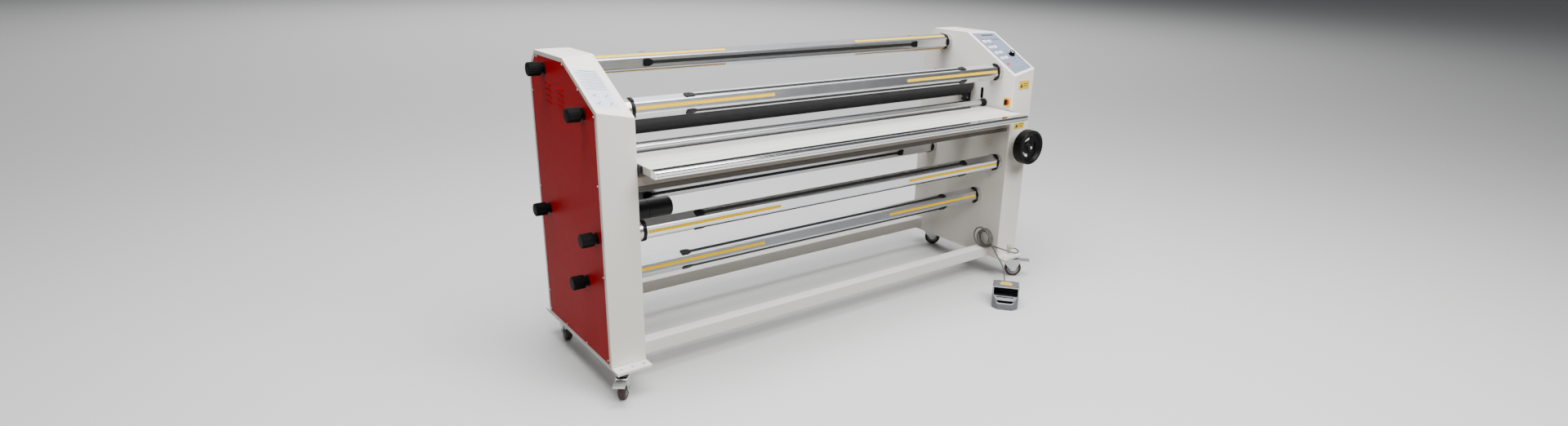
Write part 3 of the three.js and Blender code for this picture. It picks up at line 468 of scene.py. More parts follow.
socket_plate = eased(block((plug_front.x - 0.0125, plug_front.y - 0.0075, plug_front.z - 0.0125),
                           (plug_front.x + 0.0125, plug_front.y - 0.0004, plug_front.z + 0.0125)), 0.0022, 3)
piece("plug_socket", socket_plate, beige_plastic, "frame")

# ---- Side cabinets ----
# Each is a box folded from sheet steel and powder-coated off-white, with a sloping face for the controls,
# a recessed outer side that takes a red cover, and a slot in the inner wall for the upper roller's block.
powder_white = finish("powder_white", (0.80, 0.775, 0.725), 0.42, coat=0.05, grain=700, depth=0.00006,
                      mottle=0.03, smudge=0.08)

side_low, side_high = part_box("right_side_frame")
inner_x, outer_x = side_low.x, side_high.x
middle_x = (outer_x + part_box("left_side_frame")[0].x) / 2
front_y, rear_y = side_low.y, side_high.y
bottom_z, top_z = side_low.z, side_high.z
cover_margin, cover_margin_bottom = 0.015, 0.007
cover_depth = 0.0023
chamfer_normal = Vector((0, 0.067, 0.064)).normalized()
slope_outer_back = Vector((outer_x, front_y + 0.242, top_z))
slope_inner_back = Vector((inner_x, front_y + 0.29, top_z))
slope_outer_front = Vector((outer_x, front_y, top_z - 0.132))
slope_normal = (slope_inner_back - slope_outer_back).cross(slope_outer_front - slope_outer_back).normalized()
if slope_normal.z < 0:
    slope_normal.negate()


def sliced(bm, point, normal):
    """The body below a plane, closed again."""
    found = bmesh.ops.bisect_plane(bm, geom=[*bm.verts, *bm.edges, *bm.faces], plane_co=point,
                                   plane_no=normal, clear_outer=True)
    rim = [e for e in found["geom_cut"] if isinstance(e, bmesh.types.BMEdge)]
    bmesh.ops.edgenet_fill(bm, edges=rim)
    bmesh.ops.recalc_face_normals(bm, faces=bm.faces)
    return bm


def cabinet_form(distance, bottom_distance, x0, x1):
    """The cabinet's outer form, drawn in by a distance, between two places along the machine."""
    bm = block((x0, front_y + distance, bottom_z + bottom_distance), (x1, rear_y - distance,
            top_z - distance))
    chamfer_point = Vector((0, rear_y - 0.064, top_z)) - chamfer_normal * distance
    sliced(bm, chamfer_point, chamfer_normal)
    return sliced(bm, slope_outer_back - slope_normal * distance, slope_normal)


def on_side(bm, side):
    """Bodies are drawn on the right; for the left side they are mirrored about the machine's middle."""
    if side < 0:
        bm.transform(Matrix.Translation((2 * middle_x, 0, 0)) @ Matrix.Diagonal((-1, 1, 1, 1)))
        bmesh.ops.reverse_faces(bm, faces=bm.faces)
    return bm


nip_y = (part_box("lower_roller_core")[0].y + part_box("lower_roller_core")[1].y) / 2
block_low, block_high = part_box("right_bearing_block")
slot_half = (block_high.y - block_low.y) / 2 + 0.0003
for label, side in (("left", -1), ("right", 1)):
    shell = eased(cabinet_form(0, 0, inner_x, outer_x), 0.0026, 3, 25)
    recess = cabinet_form(cover_margin, cover_margin_bottom, outer_x - cover_depth, outer_x + 0.01)
    slot = block((inner_x - 0.01, nip_y - slot_half, block_low.z - 0.034),
                 (inner_x + 0.02, nip_y + slot_half, block_high.z + 0.002))
    tools = [recess, slot]
    for x_from, x_to, y, z, r in (
        (-0.01, 0.012, front_y + 0.052, 0.745, 0.0026), (-0.01, 0.012, front_y + 0.118, 0.84, 0.0026),
        (-0.01, 0.012, front_y + 0.21, 0.69, 0.0026), (-0.01, 0.012, front_y + 0.32, 0.835, 0.0026),
        (-0.01, 0.012, front_y + 0.36, 0.835, 0.0026), (-0.01, 0.012, front_y + 0.16, 0.66, 0.0026),
    ):
        tools.append(lathe([(0, x_from), (r, x_from), (r, x_to), (0, x_to)], "x", (inner_x, y, z), 20))
    shell = eased(carved(shell, *tools), 0.0005, 2, 70)
    piece(f"{label}_cabinet", on_side(shell, side), powder_white, "frame", [f"{label}_side_frame"])

# ---- Red side covers ----
# A flat panel of sheet steel, powder-coated red, screwed into the recess on each cabinet's outer side, with
# eight pressed louvres near the top.
powder_red = finish("powder_red", (0.43, 0.003, 0.008), 0.5, grain=700, depth=0.00006, mottle=0.06,
                    smudge=0.1, specular=0.07)
screw_white = finish("painted_screw", (0.74, 0.72, 0.69), 0.4, grain=1200)
cover_gap = 0.0006
louvre_length, louvre_height, louvre_proud = 0.074, 0.0105, 0.0032
louvre_rows = (0.976, 0.9565, 0.937, 0.9175)
louvre_columns = (front_y + 0.387, front_y + 0.279)


def pan_head(radius, height):
    """A cross-recessed pan-head screw along +X, from its seat outwards."""
    dome = lathe([(0, 0), (radius * 0.92, 0), (radius, height * 0.25), (radius * 0.93, height * 0.62),
                  (radius * 0.66, height * 0.92), (radius * 0.3, height), (0, height)], "x", (0, 0, 0), 24)
    arm, half = radius * 0.52, radius * 0.11
    cross = [block((height * 0.5, -arm, -half), (height * 1.5, arm, half)),
             block((height * 0.5, -half, -arm), (height * 1.5, half, arm))]
    return carved(dome, *cross)


def louvre():
    """A pressed hood, open at its lower lip, in the Y-Z plane and standing out along +X."""
    bm = bmesh.new()
    across, up = 18, 6
    grid = []
    for i in range(across + 1):
        u = 2 * i / across - 1
        end = max(0.0, 1 - abs(u) ** 3.2)
        column = [bm.verts.new((-0.0004, u * louvre_length / 2, 0))]
        for j in range(up + 1):
            v = j / up
            swell = math.cos(v * math.pi / 2) ** 0.8 if v < 1 else 0
            column.append(bm.verts.new((
                louvre_proud * end * swell - 0.0003,
                u * louvre_length / 2,
                louvre_height * v * (0.35 + 0.65 * end),
            )))
        grid.append(column)
    for one, two in zip(grid, grid[1:]):
        for j in range(up + 1):
            bm.faces.new((one[j], two[j], two[j + 1], one[j + 1]))
        bm.faces.new((one[up + 1], two[up + 1], two[0], one[0]))
    bm.faces.new(grid[0])
    bm.faces.new(grid[-1][::-1])
    bmesh.ops.remove_doubles(bm, verts=bm.verts, dist=1e-6)
    return bm


for label, side in (("left", -1), ("right", 1)):
    edge, low_edge = cover_margin + cover_gap, cover_margin_bottom + cover_gap
    panel = cabinet_form(edge, low_edge, outer_x - cover_depth + 0.0002, outer_x)
    holes = []
    for name in ("upper_film", "front_film", "rear_media", "front_liner", "lower_media"):
        low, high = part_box(f"{name}_shaft")
        holes.append(lathe([(0, -0.01), (0.008, -0.01), (0.008, 0.01), (0, 0.01)], "x",
                           (outer_x, (low.y + high.y) / 2, (low.z + high.z) / 2), 24))
    if side < 0:
        panel = carved(panel, *holes)
    panel = eased(panel, 0.0005, 2, 25)
    piece(f"{label}_cover_panel", on_side(panel, side), powder_red, "frame", [f"{label}_cover"])
    hoods = copies(louvre(), [Matrix.Translation((outer_x, y,
                                                  z)) for y in louvre_columns for z in louvre_rows])
    piece(f"{label}_cover_louvres", on_side(hoods, side), powder_red, "frame")
    heads = [(rear_y - 0.02, 0.6), (rear_y - 0.02, 0.94), (rear_y - 0.022, 0.2), (rear_y - 0.083,
            top_z - 0.021),
             (front_y + 0.245, top_z - 0.021), (front_y + 0.13, top_z - 0.083), (front_y + 0.021,
                     top_z - 0.148),
             (front_y + 0.021, 0.72), (front_y + 0.021, 0.42), (front_y + 0.024, 0.125),
             (front_y + 0.2, bottom_z + 0.0125), (front_y + 0.38, bottom_z + 0.0125), (rear_y - 0.024, 0.125)]
    screws = copies(pan_head(0.0036, 0.0019), [Matrix.Translation((outer_x, y, z)) for y, z in heads])
    piece(f"{label}_cover_screws", on_side(screws, side), screw_white, "frame")

# ---- Base plates ----
# A ten-millimetre steel plate under each cabinet, drilled in front for levelling feet and painted white.
for label in ("left", "right"):
    low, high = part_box(f"{label}_base_plate")
    plate = eased(block(low, high), 0.0012, 2)
    sign = 1 if label == "right" else -1
    inner, centre = (low.x, 1) if sign > 0 else (high.x, -1)
    drills = []
    for reach, r in ((0.02, 0.006), (0.062, 0.0045), (0.102, 0.0045)):
        drills.append(lathe([(0, -0.02), (r, -0.02), (r, 0.02), (0, 0.02)], "z",
                            (inner + sign * reach, low.y + 0.023, high.z), 28))
    for reach in (0.022, 0.1):
        drills.append(lathe([(0, -0.02), (0.0045, -0.02), (0.0045, 0.02), (0, 0.02)], "z",
                            (inner + sign * reach, high.y - 0.019, high.z), 28))
    plate = eased(carved(plate, *drills), 0.0005, 2, 70)
    piece(f"{label}_foot_plate", plate, powder_white, "frame", [f"{label}_base_plate"])

# ---- Beams ----
# Square steel tubes bolted between the cabinets and painted like them. The one under the feed table is drawn
# in a warmer, darker grey as painted shade cast by the table above. It carries a folded ledge along its lower
# edge, drawn near-black as painted shade.


def arc(centre, radius, start, end, steps):
    """Points on an arc between two angles in degrees."""
    return [(centre[0] + radius * math.cos(math.radians(start + (end - start) * k / steps)),
             centre[1] + radius * math.sin(math.radians(start + (end - start) * k / steps)))
            for k in range(steps + 1)]


def filleted(outline, radius, steps=4):
    """An outline with its corners rounded."""
    points = []
    count = len(outline)
    for k in range(count):
        corner = Vector(outline[k])
        before, after = Vector(outline[k - 1]) - corner, Vector(outline[(k + 1) % count]) - corner
        opening = before.angle(after)
        reach = min(radius / math.tan(opening / 2), before.length * 0.49, after.length * 0.49)
        one, two = corner + before.normalized() * reach, corner + after.normalized() * reach
        for j in range(steps + 1):
            t = j / steps
            points.append(tuple(one * (1 - t) ** 2 + corner * 2 * t * (1 - t) + two * t * t))
    return points


def tube_beam(low, high, radius):
    outline = filleted([(low.y, low.z), (high.y, low.z), (high.y, high.z), (low.y, high.z)], radius, 4)
    return prism(outline, "x", low.x, high.x)


for name in ("front_crossbeam", "rear_crossbeam"):
    low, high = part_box(name)
    piece(f"{name}_tube", tube_beam(low, high, 0.003), powder_white, "frame", [name])
low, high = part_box("table_beam")
upper_tube = prism(filleted([(low.y + 0.004, low.z + 0.017), (high.y, low.z + 0.017), (high.y, high.z),
                             (low.y, high.z)], 0.006, 5), "x", low.x, high.x)
ledge = prism(filleted([(low.y + 0.009, low.z), (high.y, low.z), (high.y, low.z + 0.0168),
                        (low.y + 0.006, low.z + 0.0168)], 0.0015, 3), "x", low.x, high.x)
# Painted shade: the tube's warm grey and the ledge's near-black stand for the shadow the feed table casts on
# them.
shaded_beam_grey = finish("shaded_beam_grey", (0.47, 0.44, 0.395), 0.42, grain=1400, depth=0.00004, mottle=0.05)
shaded_ledge_dark = finish("shaded_ledge_dark", (0.15, 0.14, 0.125), 0.5, grain=1400, depth=0.00004, mottle=0.1,
                    specular=0.25)
piece("table_beam_tube", upper_tube, shaded_beam_grey, "frame", ["table_beam"])
piece("table_beam_ledge", ledge, shaded_ledge_dark, "frame")

# ---- Laminating rollers ----
# Two steel rollers in a thick silicone rubber sleeve, ground smooth; the lower one is driven and the upper
# one is pressed down on it. The steel ends are turned.
silicone = finish("silicone_rubber", (0.027, 0.027, 0.029), 0.5, grain=260, depth=0.00002, stretch=(1, 6, 6),
                  mottle=0.1, smudge=0.1, specular=0.35)
turned_steel = finish("turned_steel", (0.56, 0.55, 0.54), 0.28, metallic=1.0, grain=2600, depth=0.00001,
                      stretch=(1, 0.06, 0.06), mottle=0.1, smudge=0.12)
for name in ("upper", "lower"):
    core_low, core_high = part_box(f"{name}_roller_core")
    low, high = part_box(f"{name}_roller_rubber")
    centre = (0, (low.y + high.y) / 2, (low.z + high.z) / 2)
    radius, length_from, length_to = (high.z - low.z) / 2, low.x, high.x
    sleeve = lathe([
        (0.0449, length_from + 0.001), (radius - 0.004, length_from), (radius - 0.0012, length_from + 0.0008),
        (radius, length_from + 0.003), (radius, length_to - 0.003), (radius - 0.0012, length_to - 0.0008),
        (radius - 0.004, length_to), (0.0449, length_to - 0.001), (0.0449, length_from + 0.001),
    ], "x", centre, 128)
    core = lathe([
        (0, core_low.x), (0.013, core_low.x), (0.015, core_low.x + 0.002), (0.015, length_from - 0.0006),
        (0.019, length_from - 0.0004), (0.019, length_from + 0.0015), (0.0445, length_from + 0.0022),
        (0.0445, length_to - 0.0022), (0.019, length_to - 0.0015), (0.019, length_to + 0.0004),
        (0.015, length_to + 0.0006), (0.015, core_high.x - 0.002), (0.013, core_high.x), (0, core_high.x),
    ], "x", centre, 96)
    piece(f"{name}_roller_sleeve", sleeve, silicone, f"{name}_roller", [f"{name}_roller_rubber"])
    piece(f"{name}_roller_steel", core, turned_steel, f"{name}_roller", [f"{name}_roller_core"])

# ---- Upper roller blocks ----
# Black bearing blocks that slide in the slots of the inner walls and carry the upper roller's ends. Each
# has a round seat for the roller's end and six socket bolts on its face towards the roller.
black_enamel = finish("black_enamel", (0.008, 0.008, 0.009), 0.38, grain=900, depth=0.00003, mottle=0.2,
                      specular=0.3)


def hex_bolt(width, height):
    """A hexagon head along +Z from its seat, chamfered."""
    bm = bmesh.new()
    rings = []
    for z, factor in ((0, 1.0), (height * 0.8, 1.0), (height, 0.84)):
        rings.append([bm.verts.new((width / 2 / math.cos(math.pi / 6) * factor * math.cos(math.tau * k / 6),
                                    width / 2 / math.cos(math.pi / 6) * factor * math.sin(math.tau * k / 6),
                                    z))
                      for k in range(6)])
    bm.faces.new(rings[0][::-1])
    bm.faces.new(rings[2])
    for lower, upper in zip(rings, rings[1:]):
        for k in range(6):
            bm.faces.new((lower[k], lower[(k + 1) % 6], upper[(k + 1) % 6], upper[k]))
    return bm


def socket_bolt(radius, height):
    """A socket-head cap screw along +Z from its seat, with its hexagon recess."""
    head = lathe([(0, 0), (radius, 0), (radius, height * 0.88), (radius * 0.9, height), (0, height)],
                 "z", (0, 0, 0), 28)
    hexagon = [(radius * 0.56 * math.cos(math.tau * k / 6), radius * 0.56 * math.sin(math.tau * k / 6))
               for k in range(6)]
    return carved(head, prism(hexagon, "z", height * 0.45, height * 1.5))


for label, side in (("left", -1), ("right", 1)):
    low, high = block_low, block_high
    body = eased(block((low.x, low.y, low.z), (high.x, high.y, high.z)), 0.0012, 2)
    axis_z = (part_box("upper_roller_core")[0].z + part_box("upper_roller_core")[1].z) / 2
    seat = lathe([(0, -0.0025), (0.0178, -0.0025), (0.0178, 0.02), (0, 0.02)], "x",
                 (low.x + 0.0006, nip_y, axis_z), 40)
    body = eased(carved(body, seat), 0.0004, 2, 70)
    piece(f"{label}_roller_block", on_side(body, side), black_enamel, "roller_carriage",
          [f"{label}_bearing_block"])
    to_inside = Matrix.Rotation(-math.pi / 2, 4, "Y")
    bolts = copies(socket_bolt(0.0032, 0.0026), [
        Matrix.Translation((low.x + 0.0001, nip_y + y, z)) @ to_inside
        for y in (-0.0155, 0.0155) for z in (low.z + 0.016, low.z + 0.05, high.z - 0.012)
    ])
    piece(f"{label}_roller_block_bolts", on_side(bolts, side), turned_steel, "roller_carriage")

# ---- Roll shafts ----
# Five aluminium tubes that hold the rolls of film and paper. Each is round with three flats: black rubber
# grip strips run along the flats between moulded end blocks, and yellow measuring tapes are stuck on the
# narrow faces between them.
anodised = finish("anodised_aluminium", (0.66, 0.675, 0.70), 0.3, metallic=1.0, grain=1500, depth=0.000012,
                  stretch=(0.015, 1, 1), mottle=0.05, smudge=0.12)
# Black rubber for the grip strips, the seal and the pedal treads; the same black also draws the painted
# shadow line on the table's nose.
grip_rubber_and_shadow_black = finish("grip_rubber_and_shadow_black", (0.01, 0.01, 0.01), 0.6, grain=700, depth=0.00005, mottle=0.2,
                     specular=0.25)
black_moulding = finish("black_moulding", (0.005, 0.005, 0.005), 0.42, grain=1300, depth=0.00004, mottle=0.2,
                        smudge=0.16, specular=0.14)


def calculator(material):
    """Adds sums to a material one after another: each call makes a maths node and gives its result."""
    nodes, links = material.node_tree.nodes, material.node_tree.links

    def calculate(operation, *values):
        node = nodes.new("ShaderNodeMath")
        node.operation = operation
        for socket, value in zip(node.inputs, values):
            if isinstance(value, (int, float)):
                socket.default_value = value
            else:
                links.new(value, socket)
        return node.outputs[0]

    return calculate


def overprinted(material, mask, ink):
    """Lays a second colour over a finish where the mask is one."""
    nodes, links = material.node_tree.nodes, material.node_tree.links
    mix = nodes.new("ShaderNodeMix")
    mix.data_type = "RGBA"
    links.new(mask, mix.inputs[0])
    links.new(nodes["grain"].outputs["Colour"], mix.inputs[6])
    mix.inputs[7].default_value = (*ink, 1)
    links.new(mix.outputs[2], nodes["Principled BSDF"].inputs["Base Color"])


def tape_material():
    """Yellow printed tape with millimetre, half-centimetre and centimetre ticks and a small mark at each
    centimetre. Along the tape is U and across it V, both in metres."""
    material = finish("measuring_tape", (0.92, 0.57, 0.002), 0.45, grain=1400, depth=0.00001, specular=0.12)
    nodes, links = material.node_tree.nodes, material.node_tree.links
    place = nodes.new("ShaderNodeTexCoord")
    split = nodes.new("ShaderNodeSeparateXYZ")
    links.new(place.outputs["UV"], split.inputs[0])
    along, across = split.outputs[0], split.outputs[1]
    calculate = calculator(material)

    def ticks(pitch, width, reach):
        phase = calculate("PINGPONG", along, pitch / 2)
        return calculate("MULTIPLY", calculate("LESS_THAN", phase, width / 2),
                         calculate("LESS_THAN", across, reach))

    fine = calculate("MAXIMUM", ticks(0.001, 0.0003, 0.0024), ticks(0.005, 0.00036, 0.0034))
    lines = calculate("MAXIMUM", fine, ticks(0.01, 0.0005, 0.0046))
    marked = calculate("LESS_THAN", calculate("PINGPONG", along, 0.005), 0.0013)
    band = calculate("MULTIPLY", calculate("GREATER_THAN", across, 0.0055), calculate("LESS_THAN", across,
            0.0086))
    cells = nodes.new("ShaderNodeTexWhiteNoise")
    cells.noise_dimensions = "2D"
    steps = nodes.new("ShaderNodeVectorMath")
    steps.operation = "SNAP"
    links.new(place.outputs["UV"], steps.inputs[0])
    steps.inputs[1].default_value = (0.0006, 0.0006, 1)
    links.new(steps.outputs[0], cells.inputs["Vector"])
    dots = calculate("GREATER_THAN", cells.outputs["Value"], 0.42)
    figures = calculate("MULTIPLY", calculate("MULTIPLY", marked, band), dots)
    overprinted(material, calculate("MAXIMUM", lines, figures), (0.03, 0.025, 0.02))
    return material


measuring_tape = tape_material()
shaft_radius = 0.034
flat_distance, tape_distance = 0.030, 0.0306  # of the strips' and the tapes' faces from the axis
shaft_half = 0.8417
# Where each shaft's axis lies, and how far the shaft is turned in degrees
roll_shafts = {"upper_film": (0.269, 1.029, 62), "front_film": (-0.043, 0.931, 13),
               "rear_media": (0.316, 0.538, -67), "front_liner": (-0.087, 0.543, -1),
               "lower_media": (0.013, 0.366, 13)}


def shaft_outline():
    """The tube's section with a flat towards +Y, grooved beside each narrow face."""
    half_flat = math.degrees(math.acos(flat_distance / shaft_radius))
    half_tape = math.degrees(math.acos(tape_distance / shaft_radius))
    points = []
    for k in range(3):
        middle = 120 * k
        for start, end in ((half_flat, 60 - half_tape), (60 + half_tape, 120 - half_flat)):
            groove = (start + end) / 2
            points += arc((0, 0), shaft_radius, middle + start, middle + groove - 0.9, 1)
            points += arc((0, 0), shaft_radius - 0.0008, middle + groove - 0.8, middle + groove + 0.8, 1)
            points += arc((0, 0), shaft_radius, middle + groove + 0.9, middle + end, 1)
    return points


for name, (middle_y, middle_z, turned) in roll_shafts.items():
    set_in = Matrix.Translation((middle_x, middle_y, middle_z)) @ Matrix.Rotation(
        math.radians(120 - turned), 4, "X")
    body = f"{name}_shaft"

    tube = prism(shaft_outline(), "x", -shaft_half, shaft_half)
    tube.transform(set_in)
    piece(f"{name}_shaft_tube", tube, anodised, body, [f"{name}_shaft"], 14)

    tapes = bmesh.new()
    layer = tapes.loops.layers.uv.new("UVMap")
    for k in range(3):
        face_turn = Matrix.Rotation(math.radians(60 + 120 * k), 4, "X")
        for way in (-1, 1):
            corners = {}
            for x in (0.315, 0.838):
                for across in (0, 0.011):
                    for level in (tape_distance + 0.00002, tape_distance + 0.0003):
                        spot = Vector((way * x, level, across - 0.0055))
                        corners[x, across, level] = tapes.verts.new(face_turn @ spot)
            keys = list(corners)
            for index in ((0, 1, 3, 2), (4, 5, 7, 6), (0, 1, 5, 4), (2, 3, 7, 6), (0, 2, 6, 4), (1, 3, 7, 5)):
                face = tapes.faces.new([corners[keys[i]] for i in index])
                for loop, i in zip(face.loops, index):
                    loop[layer].uv = (keys[i][0], keys[i][1])
    tapes.transform(set_in)
    piece(f"{name}_shaft_tapes", tapes, measuring_tape, body)

    strip = prism(filleted([(0.0301, -0.0062), (0.0318, -0.0058), (0.0318, 0.0058), (0.0301, 0.0062)],
                           0.0014),
                  "z", -0.632, 0.632)
    strip.transform(Matrix.Rotation(math.pi / 2, 4, "Y") @ Matrix.Rotation(math.pi / 2, 4, "Z"))
    strips = copies(strip, [set_in @ Matrix.Rotation(math.radians(120 * k), 4, "X")
                            for k in range(3)])
    piece(f"{name}_grip_strips", strips, grip_rubber_and_shadow_black, body)

    end_block = eased(prism(filleted([(-0.0185, -0.0080), (-0.004, -0.0132), (0.0135, -0.0132), (0.0178,
            -0.010),
                                      (0.0178, 0.010), (0.0135, 0.0132), (-0.004, 0.0132), (-0.0185, 0.0080)],
                                     0.004), "y", 0.0301, 0.0335),
                      0.0012, 2, 60)
    recess = lathe([(0, 0.0318), (0.0028, 0.0318), (0.0028, 0.035), (0, 0.035)], "y", (0.004, 0, 0), 20)
    end_block = carved(end_block, recess)
    places = []
    for k in range(3):
        about = Matrix.Rotation(math.radians(120 * k), 4, "X")
        places += [set_in @ about @ Matrix.Translation((0.64, 0, 0)),
                   set_in @ about @ Matrix.Translation((-0.64, 0, 0)) @ Matrix.Rotation(math.pi, 4, "Y")]
    piece(f"{name}_strip_end_blocks", copies(end_block, places), black_moulding, body)

    lobes = []
    for k in range(3):
        lobes += arc((0, 0), 0.0378, 120 * k - 19, 120 * k + 19, 8)
        lobes += arc((0, 0), 0.0345, 120 * k + 24, 120 * k + 96, 14)
    collar = eased(prism(filleted(lobes, 0.0012, 1), "x", shaft_half, shaft_half + 0.0118), 0.0009, 1, 50)
    piece(f"{name}_collars", copies(collar, [set_in, set_in @ Matrix.Rotation(math.pi, 4, "Y")]),
          black_moulding, body)

    hub = lathe([(0, 0.0119), (0.032, 0.0119), (0.033, 0.0129), (0.033, 0.0195), (0.0322, 0.02), (0.0322,
            0.0212),
                 (0.033, 0.0217), (0.033, 0.0328), (0.032, 0.0338), (0.012, 0.0338), (0, 0.0338)],
                "x", (shaft_half, 0, 0), 72)
    piece(f"{name}_hubs", copies(hub, [set_in, set_in @ Matrix.Rotation(math.pi, 4, "Z")]), turned_steel,
          body)

# ---- Tension knobs ----
# Ribbed black plastic knobs on the left side that tighten the brake of each roll shaft: a flange against
# the red cover, a short neck and a barrel-shaped grip.
knob_plastic = finish("knob_plastic", (0.003, 0.003, 0.003), 0.55, grain=1500, depth=0.00006, mottle=0.25,
                      smudge=0.15, specular=0.08)
for name, (middle_y, middle_z, _) in roll_shafts.items():
    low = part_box(f"{name}_tension_knob")[0]
    centre = (low.x, middle_y, middle_z)
    grip = ribbed(0.0229, 0.0015, 24, 0.0006, 0.042, "x", centre, 0.0028)
    cap = lathe([(0, 0), (0.0145, 0), (0.016, 0.0004), (0.0172, 0.0012), (0, 0.0012)], "x", centre, 48)
    neck = lathe([(0, 0.0415), (0.0176, 0.0415), (0.0155, 0.043), (0.015, 0.0445), (0.015, 0.0485),
                  (0.0162, 0.0496), (0.0186, 0.0502), (0.019, 0.0508), (0.019, 0.0542), (0.0186, 0.0548),
                  (0.0065, 0.055), (0.0065, 0.0569), (0, 0.0569)], "x", centre, 56)
    piece(f"{name}_knob", together(grip, cap, neck), knob_plastic, f"{name}_tension_knob",
          [f"{name}_tension_knob"])

# ---- Idler bar ----
# A free-running drawn aluminium tube in front of the nip, in round black end caps on the inner walls.
low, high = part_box("idler_bar")
centre = (0, (low.y + high.y) / 2, (low.z + high.z) / 2)
idler_radius = (high.z - low.z) / 2
tube = lathe([(0, low.x), (idler_radius - 0.001, low.x), (idler_radius, low.x + 0.001),
              (idler_radius, high.x - 0.001), (idler_radius - 0.001, high.x), (0, high.x)], "x", centre, 72)
piece("idler_tube", tube, anodised, "idler_bar", ["idler_bar"])
cap_low, cap_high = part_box("right_idler_cap")
for label, side in (("left", -1), ("right", 1)):
    cap_radius = (cap_high.z - cap_low.z) / 2
    cap = lathe([(0, cap_low.x), (0.0135, cap_low.x), (0.0145, cap_low.x + 0.0006), (0.0155,
            cap_low.x + 0.003),
                 (cap_radius - 0.0008, cap_low.x + 0.0036), (cap_radius, cap_low.x + 0.0045),
                 (cap_radius, inner_x - 0.0012), (cap_radius - 0.0006, inner_x - 0.0003), (0,
                         inner_x - 0.0003)],
                "x", centre, 64)
    collar = lathe([(0.0129, inner_x - 0.03), (0.0141, inner_x - 0.03), (0.0146, inner_x - 0.0294),
                    (0.0146, cap_low.x - 0.0002), (0.0129, cap_low.x - 0.0002), (0.0129, inner_x - 0.03)],
                   "x", centre, 64)
    piece(f"{label}_idler_holder", on_side(together(cap, collar), side), black_moulding, "frame",
          [f"{label}_idler_cap"])

# ---- Feed table ----
# A flat tray of folded sheet, painted white and pierced with rows of small holes drawn as dots of painted
# shade, with a polished aluminium nose along its front edge, a black seal behind it, a black line low on its
# front that is painted shadow, and end plates; it hangs on two black hinges and swings down.


def tray_material():
    """White paint with rows of fine punched holes, drawn on the top as near-black dots of painted shade."""
    material = finish("tray_paint_with_hole_shade", (0.72, 0.71, 0.69), 0.4, coat=0.1, grain=800, depth=0.00005, mottle=0.03)
    nodes, links = material.node_tree.nodes, material.node_tree.links
    place = nodes.new("ShaderNodeTexCoord")
    split = nodes.new("ShaderNodeSeparateXYZ")
    links.new(place.outputs["Object"], split.inputs[0])
    calculate = calculator(material)
    holes = None
    for row, shift in ((-0.045, 0.0), (-0.052, 0.005), (-0.108, 0.0), (-0.115, 0.005), (-0.166, 0.0),
                       (-0.173, 0.005)):
        beyond = calculate("PINGPONG", calculate("ADD", split.outputs[0], 2 + shift), 0.005)
        across = calculate("SUBTRACT", split.outputs[1], row)
        far = calculate("SQRT", calculate("ADD", calculate("MULTIPLY", beyond, beyond),
                                          calculate("MULTIPLY", across, across)))
        hole_shade = calculate("LESS_THAN", far, 0.0015)
        holes = hole_shade if holes is None else calculate("MAXIMUM", holes, hole_shade)
    on_top = calculate("GREATER_THAN", split.outputs[2], 0.7742)
    # Painted shade: the punched holes are not cut but drawn as near-black dots on the tray's top, standing
    # for the dark seen through them.
    overprinted(material, calculate("MULTIPLY", holes, on_top), (0.09, 0.085, 0.08))
    return material


tray_low, tray_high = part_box("feed_table_tray")
tray = eased(block((tray_low.x + 0.0012, tray_low.y + 0.0003, tray_low.z), (tray_high.x - 0.0012,
        tray_high.y, tray_high.z)),
             0.0012, 2)
piece("table_tray", tray, tray_material(), "feed_table", ["feed_table_tray"])
end_grey = finish("end_plate", (0.50, 0.49, 0.47), 0.45, coat=0.05, grain=800, depth=0.00004)
plates = []
for x in (tray_low.x, tray_high.x - 0.0012):
    plates.append(eased(prism(filleted([
        (tray_low.y - 0.001, tray_low.z + 0.001), (tray_high.y - 0.0005, tray_low.z + 0.001),
        (tray_high.y - 0.0005, tray_high.z - 0.0006), (tray_low.y - 0.001, tray_high.z - 0.0006),
    ], 0.002, 3), "x", x, x + 0.0011), 0.0003, 1, 50))
piece("table_end_plates", together(*plates), end_grey, "feed_table")

polished = finish("polished_aluminium", (0.86, 0.87, 0.88), 0.12, metallic=1.0, grain=1500, depth=0.000006,
                  stretch=(0.01, 1, 1), mottle=0.03, smudge=0.1)
nose_low, nose_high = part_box("feed_table_nose")


def nose_outline(grow):
    """The front edge's section: a flat top, a quarter-round front and a flat underside."""
    back, top, bottom, front = nose_high.y, nose_high.z + grow, nose_low.z - grow, nose_low.y - grow
    points = [(back, bottom), (back, top)]
    points += arc((front + 0.0085, top - 0.0085), 0.0085, 90, 180, 8)
    points += arc((front + 0.004, bottom + 0.004), 0.004, 180, 270, 4)
    return points


nose = prism(nose_outline(0), "x", nose_low.x + 0.0084, nose_high.x - 0.0084)
piece("table_nose", nose, polished, "feed_table", ["feed_table_nose"], 24)
gasket = block((nose_low.x + 0.0082, nose_high.y - 0.0022, nose_high.z - 0.004),
               (nose_high.x - 0.0082, nose_high.y - 0.0002, nose_high.z + 0.0005))
# Painted shadow: the thin black line low on the nose's front stands for the shadow under its rounded edge;
# the strip behind the nose is a black seal.
nose_shadow_line = block((nose_low.x + 0.0082, nose_low.y - 0.0004, nose_high.z - 0.0182),
                   (nose_high.x - 0.0082, nose_low.y + 0.002, nose_high.z - 0.0164))
piece("table_nose_seal_and_shadow_line", together(gasket, nose_shadow_line), grip_rubber_and_shadow_black, "feed_table")
ends = []
for x in (nose_low.x, nose_high.x - 0.008):
    ends.append(eased(prism(nose_outline(0.0003), "x", x, x + 0.008), 0.0006, 2, 60))
piece("table_nose_ends", together(*ends), polished, "feed_table", sharp=24)

